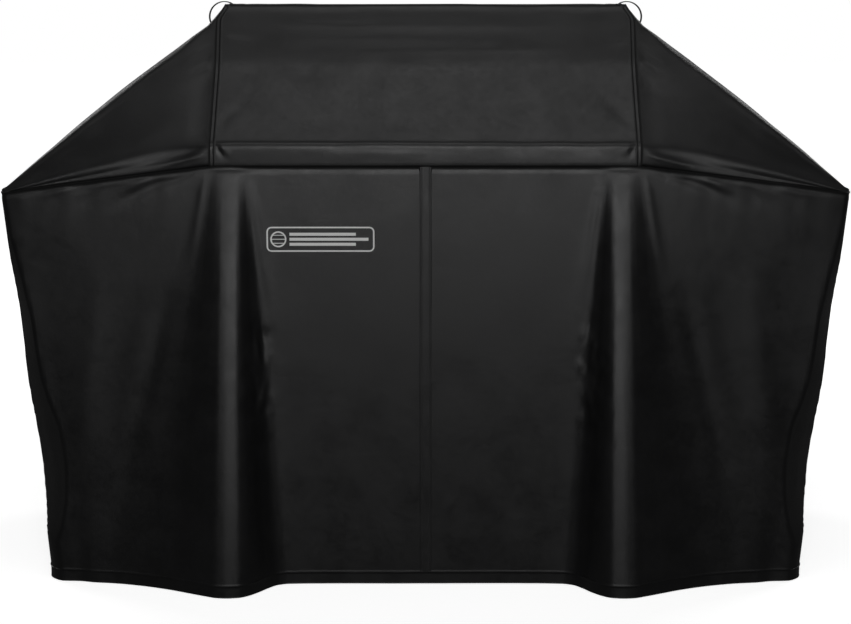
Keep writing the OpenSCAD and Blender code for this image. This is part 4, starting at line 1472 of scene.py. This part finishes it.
@dataclass(frozen=True)
class Landing:
    """Finds the cloth below a point, so that sewn and printed pieces follow its folds."""

    cloth: BVHTree

    @classmethod
    def on(cls, *pieces: bpy.types.Object) -> "Landing":
        """Take the faces of some sheets."""
        points: list[Vector] = []
        faces: list[tuple[int, ...]] = []
        for piece in pieces:
            first = len(points)
            points += [piece.matrix_world @ v.co for v in piece.data.vertices]
            faces += [tuple(first + k for k in f.vertices) for f in piece.data.polygons]
        return cls(BVHTree.FromPolygons(points, faces))

    def drop(self, points: np.ndarray, toward: Sequence[float], above: float = 60 * MM) -> np.ndarray:
        """Drop points onto the cloth.

        Args:
            points: Where to start, near the cloth.
            toward: The direction in which they fall.
            above: How far back from each point to start.

        Returns:
            The points on the cloth, with a point that misses left where it was.
        """
        way = Vector(toward).normalized()
        out = np.array(points, float)
        for row in out.reshape(-1, 3):
            hit = self.cloth.ray_cast(Vector(row) - way * above, way, 3 * above)[0]
            if hit is not None:
                row[:] = hit
        return out


@dataclass
class Patcher:
    """Cuts small cloth patches and sews them down round their edges."""

    finishes: Finishes
    stitching: Stitching

    def lay(self, name: str, corner: np.ndarray, along: np.ndarray, up: np.ndarray,
            size: tuple[float, float], landing: Landing,
            cross: bool = True) -> bpy.types.Object:
        """Lay a patch on the cloth.

        Args:
            name: The patch's name.
            corner: The middle of the patch.
            along: Unit direction of its length.
            up: Unit direction of its width.
            size: Its length and width.
            landing: The cloth below.
            cross: True to sew a cross inside the border.

        Returns:
            The patch.
        """
        out = np.cross(along, up)
        long, wide = size
        u = paced([(-long / 2, 0.6 * MM), (-long / 2 + 2 * MM, 2.5 * MM), (long / 2 - 2 * MM, 0.6 * MM),
                   (long / 2, 0)])
        v = paced([(wide / 2, 0.6 * MM), (wide / 2 - 2 * MM, 2.5 * MM), (-wide / 2 + 2 * MM, 0.6 * MM),
                   (-wide / 2, 0)])
        flat = corner + u[None, :, None] * along + v[:, None, None] * up
        grid = landing.drop(flat, -out)
        rim = np.minimum(long / 2 - np.abs(u)[None], wide / 2 - np.abs(v)[:, None])
        height = 0.5 * MM + 0.9 * MM * smooth(0, 1.6 * MM, rim) - 0.35 * MM * hill(rim, 3.2 * MM, 1.0 * MM)
        grid = grid + out * height[..., None]
        # The sewn mark paints shade into the colour along the patch's stitch line.
        piece = add_sheet(name, grid, 1.1 * MM, True, {"sewn": 0.5 * hill(rim, 3.2 * MM, 1.2 * MM)})
        dress(piece, self.finishes.cloth)
        a, b = long / 2 - 3.2 * MM, wide / 2 - 3.2 * MM
        lines = [[(-a, -b), (a, -b), (a, b), (-a, b), (-a, -b)]]
        if cross:
            lines += [[(-a, -b), (a, b)], [(-a, b), (a, -b)]]
        paths = []
        for line in lines:
            path = resampled(np.array([corner + p * along + q * up for p, q in line]), 2 * MM)
            paths.append(landing.drop(path, -out) + out * 1.25 * MM)
        self.stitching.sew(name + "_stitches", paths)
        return piece


@dataclass
class Strap:
    """The webbing strap across a side panel, with its patches and its side-release buckle."""

    at: Measures
    finishes: Finishes
    patcher: Patcher
    side: Side
    wide: float = 25 * MM
    thick: float = 1.8 * MM

    FRONT_UNDER = ((172, 2.3), (60, 2.3), (53, 2.4), (45, 3.1))
    FRONT_BACK = ((45, 8.4), (53, 5.4), (61, 4.3), (96, 4.2), (98, 3.9))
    REAR = ((-212, 2.3), (-52, 2.3), (-43.85, 2.35))
    TAIL_UNDER = ((-43.85, 2.35), (-36, 3.1), (-27.85, 3.95))
    TAIL_BACK = ((-27.85, 10.0), (-60, 9.7), (-89.85, 9.0))

    def webbing(self, name: str, line: Sequence[tuple[float, float]], body: str | None) -> bpy.types.Object:
        """Webbing along points (X, Z) of the panel, in millimetres, that rides on a body."""
        path = resampled(np.array([(x * MM, 0, z * MM) for x, z in line]), 2.2 * MM)
        place = self.place
        tape = add_ribbon(name, place.world(path), place.turned([(0, 1, 0)])[0], self.wide, self.thick)
        return dress(tape, self.finishes.webbing, body)

    @property
    def place(self) -> PanelPlace:
        """The middle of the straps' line on the panel."""
        low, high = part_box("left_front_strap_patch")
        return PanelPlace(self.at, self.side, 0.0, 0.5 * (low.z + high.z))

    @staticmethod
    def turn(x: float, z: float, r: float, start: float, stop: float) -> list[tuple[float, float]]:
        """Points round a buckle's bar, from one angle to another in degrees."""
        return [(x + r * math.cos(math.radians(a)), z + r * math.sin(math.radians(a)))
                for a in np.linspace(start, stop, 13)]

    def build(self) -> None:
        """Make both straps, their patches and the moulded buckle's finish."""
        label, place = self.side.label, self.place
        bar = self.turn(36.95, 7.0, 3.05, 270, 90)
        front = self.webbing(f"{label}_front_strap_webbing", [*self.FRONT_UNDER, *bar, *self.FRONT_BACK],
                             "cover")
        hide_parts(f"{label}_front_strap")
        rear = self.webbing(f"{label}_rear_strap_webbing", list(self.REAR), None)
        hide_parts(f"{label}_rear_strap")
        start, stop = place.world([(-168 * MM, 0, 0), (-52 * MM, 0, 0)])
        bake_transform(rear)
        bar = self.turn(-18.95, 7.0, 3.05, -90, 90)
        self.webbing(f"{label}_rear_strap_tail", [*self.TAIL_UNDER, *bar, *self.TAIL_BACK],
                            f"{label}_plug")
        landing = Landing.on(bpy.data.objects[f"{label}_side_skirt_sheet"])
        up = place.turned([(0, 1, 0)])[0]
        handed = -self.side.value
        along = place.turned([(handed, 0, 0)])[0]
        for kind, x in (("front", 155), ("rear", -195)):
            middle = place.world([(x * MM, 0, 0)])[0]
            patch = self.patcher.lay(f"{label}_{kind}_strap_patch_cloth", middle, along, up,
                                     (44 * MM, 44 * MM), landing, False)
            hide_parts(f"{label}_{kind}_strap_patch")
            ends = {"front": (138, 171), "rear": (-211, -178)}[kind]
            self.box_stitch(f"{label}_{kind}_strap_stitches", *ends, 3.3)
        self.box_stitch(f"{label}_front_strap_fold_stitches", 66, 94, 5.2)
        for part in ("buckle_socket", "buckle_plug", "latch_upper", "latch_lower"):
            for obj in (o for o in bpy.data.objects if o.name.startswith(f"{label}_") and part in o.name
                        and o.type == "MESH"):
                for slot in obj.material_slots:
                    slot.material = self.finishes.moulded

    def box_stitch(self, name: str, x0: float, x1: float, z: float) -> None:
        """Sew a box with a cross through the webbing, between two distances along the panel."""
        h = 9.5
        lines = [[(x0, -h), (x1, -h), (x1, h), (x0, h), (x0, -h)], [(x0, -h), (x1, h)], [(x0, h), (x1, -h)]]
        paths = [self.place.world(resampled(np.array([(x * MM, y * MM, z * MM) for x, y in line]), 2 * MM))
                 for line in lines]
        self.patcher.stitching.sew(name, paths, "webbing")


@dataclass
class HangingLoop:
    """A webbing loop over the hood's cut top corner, sewn under a patch at each end."""

    at: Measures
    finishes: Finishes
    patcher: Patcher
    side: Side
    wide: float = 16 * MM
    thick: float = 2 * MM
    patch_long: float = 14 * MM
    low_end: tuple[float, float] = (-437.7, 1131.6)
    top_end: tuple[float, float] = (-394.0, 1168.0)
    wing_slope: float = 38.6
    arc_middle: tuple[float, float] = (28.45, -6.4)
    arc_r: float = 30.8
    arc_from: float = 157.5
    arc_to: float = 22.5
    root: tuple[float, float] = (28.4, 0.0)
    free: tuple[float, float] = (28.4, 6.5)

    LOW_SEWN = ((-6.5, 1.3), (-3.4, 1.5), (-1.5, 2.2), (-0.6, 3.6))
    TOP_SEWN = ((57.2, 3.4), (58.0, 1.3), (59.9, -0.9), (62.6, -3.1))

    def build(self) -> None:
        """Make the loop and its patches."""
        label, s = self.side.label, self.side.value
        box_low, box_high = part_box("left_loop_patches")
        y = 0.5 * (box_low.y + box_high.y)
        low, top = np.array(self.low_end) * MM, np.array(self.top_end) * MM
        chord = top - low
        long = float(np.linalg.norm(chord))
        ax = chord / long
        up = np.array([-ax[1], ax[0]])

        def placed(points: Sequence[tuple[float, float]]) -> np.ndarray:
            flat = np.array([low + u * MM * ax + v * MM * up for u, v in points])
            return np.stack([-s * flat[:, 0], np.full(len(flat), y), flat[:, 1]], axis=1)

        mid_u, mid_v = self.arc_middle
        turns = np.linspace(self.arc_from, self.arc_to, 25)
        arc = [(mid_u + self.arc_r * math.cos(math.radians(a)),
                mid_v + self.arc_r * math.sin(math.radians(a))) for a in turns]
        path = placed([*self.LOW_SEWN, *arc, *self.TOP_SEWN])
        loop = add_ribbon(f"{label}_hanging_loop_webbing", resampled(path, 1.5 * MM), np.array([0, 1.0, 0]),
                          self.wide, self.thick)
        dress(loop, self.finishes.webbing, None)
        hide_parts(f"{label}_hanging_loop")
        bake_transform(loop)
        landing = Landing.on(bpy.data.objects[f"{label}_wing_sheet"],
                             bpy.data.objects["hood_top_panel_sheet"])
        slope = math.radians(self.wing_slope)
        size = (self.patch_long, box_high.y - box_low.y)
        for kind, point, direction in (("low", low, (math.cos(slope), math.sin(slope))),
                                       ("top", top, (1.0, 0.0))):
            along = np.array([-s * direction[0], 0, direction[1]])
            across = np.array([0, -s * 1.0, 0])
            middle = np.array([-s * point[0], y, point[1]])
            self.patcher.lay(f"{label}_loop_patch_{kind}", middle, along, across, size,
                                           landing, False)
        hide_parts(f"{label}_loop_patches")


@dataclass
class Badge:
    """A printed mark that means a grill: an outline, a round grate and three bars of flame height."""

    at: Measures
    finishes: Finishes

    def strip(self, name: str, path: np.ndarray, width: float, landing: Landing) -> bpy.types.Object:
        """Print a line on the front cloth.

        Args:
            name: The piece's name.
            path: Points (x, z) on its middle.
            width: Its width.
            landing: The cloth below.

        Returns:
            A thin raised strip that follows the cloth.
        """
        y = self.at.front_y
        points = np.stack([path[:, 0], np.full(len(path), y), path[:, 1]], axis=1)
        along = np.gradient(points, axis=0)
        if np.allclose(points[0], points[-1]):
            along[0] = along[-1] = along[0] + along[-1]
        along /= np.linalg.norm(along, axis=1, keepdims=True)
        across = np.stack([-along[:, 2], 0 * along[:, 0], along[:, 0]], axis=1)
        share = np.linspace(-0.5, 0.5, max(3, round(width / (1.5 * MM)) + 1))
        grid = points[:, None] + across[:, None] * share[None, :, None] * width
        grid = landing.drop(grid, (0, 1, 0))
        grid[..., 1] -= 0.35 * MM
        return add_sheet(name, grid, 0.45 * MM, False)

    def build(self) -> None:
        """Print the mark and join it into one piece."""
        low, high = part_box("front_badge")
        cx, cz = 0.5 * (low.x + high.x), 0.5 * (low.z + high.z)
        w, h = 0.5 * (high.x - low.x) - 1.5 * MM, 0.5 * (high.z - low.z) - 1.5 * MM
        landing = Landing.on(bpy.data.objects["front_skirt_left_sheet"])
        r = 8.5 * MM
        ring = []
        for px, pz, turn in ((w - r, h - r, 0), (r - w, h - r, 90), (r - w, r - h, 180),
                             (w - r, r - h, 270)):
            ring += [(px + r * math.cos(a), pz + r * math.sin(a))
                     for a in np.radians(np.linspace(turn, turn + 90, 7))]
        ring = np.array(ring + ring[:1])
        far = lengths(ring)
        even = np.linspace(0, far[-1], round(far[-1] / (3 * MM)))
        outline = np.stack([np.interp(even, far, ring[:, k]) for k in range(2)], axis=1)
        grate_x, grate_r = -83.5 * MM, 14.5 * MM
        circle = np.array([(grate_x + grate_r * math.cos(a), grate_r * math.sin(a))
                           for a in np.linspace(0, 2 * math.pi, 49)])
        lines = [("outline", outline, 3 * MM), ("grate", circle, 3 * MM)]
        for k in (-1, 0, 1):
            half = 13.6 * MM * (1.0 if k == 0 else 0.86)
            lines.append((f"rod_{k + 1}",
                          np.array([(grate_x + x, 8 * MM * k) for x in np.linspace(-half, half, 9)]),
                          1.5 * MM))
            x = np.linspace(-61.5 * MM, -61.5 * MM + (156.5 - 25 * abs(k)) * MM, 40)
            lines.append((f"bar_{k + 1}", np.stack([x, np.full(len(x), -10 * MM * k)], axis=1), 6 * MM))
        pieces = [self.strip(f"badge_{name}", path + np.array([cx, cz]), width, landing) for name, path,
                  width in lines]
        first = pieces[0]
        with bpy.context.temp_override(active_object=first, selected_editable_objects=pieces,
                                       selected_objects=pieces):
            bpy.ops.object.join()
        first.name = "front_badge_print"
        dress(first, self.finishes.print)
        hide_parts("front_badge")


# ---------------------------------------------------------------- studio
@dataclass(frozen=True)
class SoftBox:
    """A rectangular light: its place, its turn in degrees, its size and its power in watts."""

    name: str
    place: tuple[float, float, float]
    turn: tuple[float, float, float]
    size: tuple[float, float]
    power: float

    def build(self) -> bpy.types.Object:
        """Hang the light."""
        data = bpy.data.lights.new(self.name, "AREA")
        data.shape, data.energy = "RECTANGLE", self.power
        data.size, data.size_y = self.size
        lamp = bpy.data.objects.new(self.name, data)
        lamp.location = self.place
        lamp.rotation_euler = [math.radians(a) for a in self.turn]
        lamp.visible_camera = False
        bpy.context.scene.collection.objects.link(lamp)
        return lamp


@dataclass
class Studio:
    """A pale floor, soft boxes in front and above, dark sides, and the camera."""

    eye: tuple[float, float, float] = (0.0, -3.771, 1.18)
    pitch: float = 10.0
    lens: float = 75.0
    boxes: tuple[SoftBox, ...] = (
        SoftBox("key_box", (0, -5.2, 1.7), (81, 0, 0), (1.9, 1.3), 68),
        SoftBox("high_box", (0, -4.6, 2.9), (60, 0, 0), (2.2, 1.6), 10),
        SoftBox("top_box", (0, -1.1, 3.6), (16, 0, 0), (2.4, 1.6), 15.5),
        SoftBox("left_rear_box", (-3.4, 2.6, 3.2), (-48, 0, 52), (1.8, 1.2), 34),
        SoftBox("right_rear_box", (3.4, 2.6, 3.2), (-48, 0, -52), (1.8, 1.2), 34),
    )

    def build(self) -> None:
        """Make the floor, the light and the camera."""
        scene = bpy.context.scene
        scene.view_settings.view_transform = "Standard"
        floor = add_mesh("floor",
                         np.array([[-30, -30, -0.6 * MM], [30, -30, -0.6 * MM], [30, 30, -0.6 * MM],
                                   [-30, 30, -0.6 * MM]]), [[0, 1, 2, 3]], flat=True)
        t = Tree("studio_floor")
        t.shader.inputs["Base Color"].default_value = (0.9, 0.9, 0.9, 1)
        t.shader.inputs["Roughness"].default_value = 0.9
        t.shader.inputs["Specular IOR Level"].default_value = 0.0
        t.shader.inputs["Emission Color"].default_value = (1, 1, 1, 1)
        far = t.add("ShaderNodeVectorMath", operation="LENGTH")
        t.links.new(t.add("ShaderNodeTexCoord").outputs["Object"], far.inputs[0])
        t.join(t.spread(far.outputs["Value"], 1.2, 3.0, 0.74, 1.0), 0, t.shader, "Emission Strength")
        floor.data.materials.append(t.material)
        floor.visible_glossy = floor.visible_diffuse = False
        world = bpy.data.worlds.new("studio_air")
        world.use_nodes = True
        nodes, links = world.node_tree.nodes, world.node_tree.links
        air = nodes["Background"]
        air.inputs["Color"].default_value = (1, 1, 1, 1)
        path = nodes.new("ShaderNodeLightPath")
        strength = nodes.new("ShaderNodeMapRange")
        strength.inputs["To Min"].default_value, strength.inputs["To Max"].default_value = 0.05, 1.0
        links.new(path.outputs["Is Camera Ray"], strength.inputs["Value"])
        links.new(strength.outputs[0], air.inputs["Strength"])
        scene.world = world
        for box in self.boxes:
            box.build()
        data = bpy.data.cameras.new("camera")
        data.lens, data.sensor_width = self.lens, 36.0
        data.clip_end = 100
        camera = bpy.data.objects.new("camera", data)
        camera.location = self.eye
        camera.rotation_euler = (math.radians(90 - self.pitch), 0, 0)
        scene.collection.objects.link(camera)
        scene.camera = camera


def main() -> None:
    """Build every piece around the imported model."""
    logging.basicConfig(level=logging.INFO, format="%(name)s: %(message)s")
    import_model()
    measures, finishes = Measures.taken(), Finishes()
    Shell(measures, finishes).build()
    skirt = Skirt(measures, finishes)
    skirt.build()
    stitching = Stitching(finishes)
    patcher = Patcher(finishes, stitching)
    SewnEdges(measures, finishes, skirt, stitching).build()
    Badge(measures, finishes).build()
    for side in Side:
        Vent(measures, finishes, skirt, side).build()
        Strap(measures, finishes, patcher, side).build()
        HangingLoop(measures, finishes, patcher, side).build()
    Studio().build()


if __name__ == "__main__":
    main()
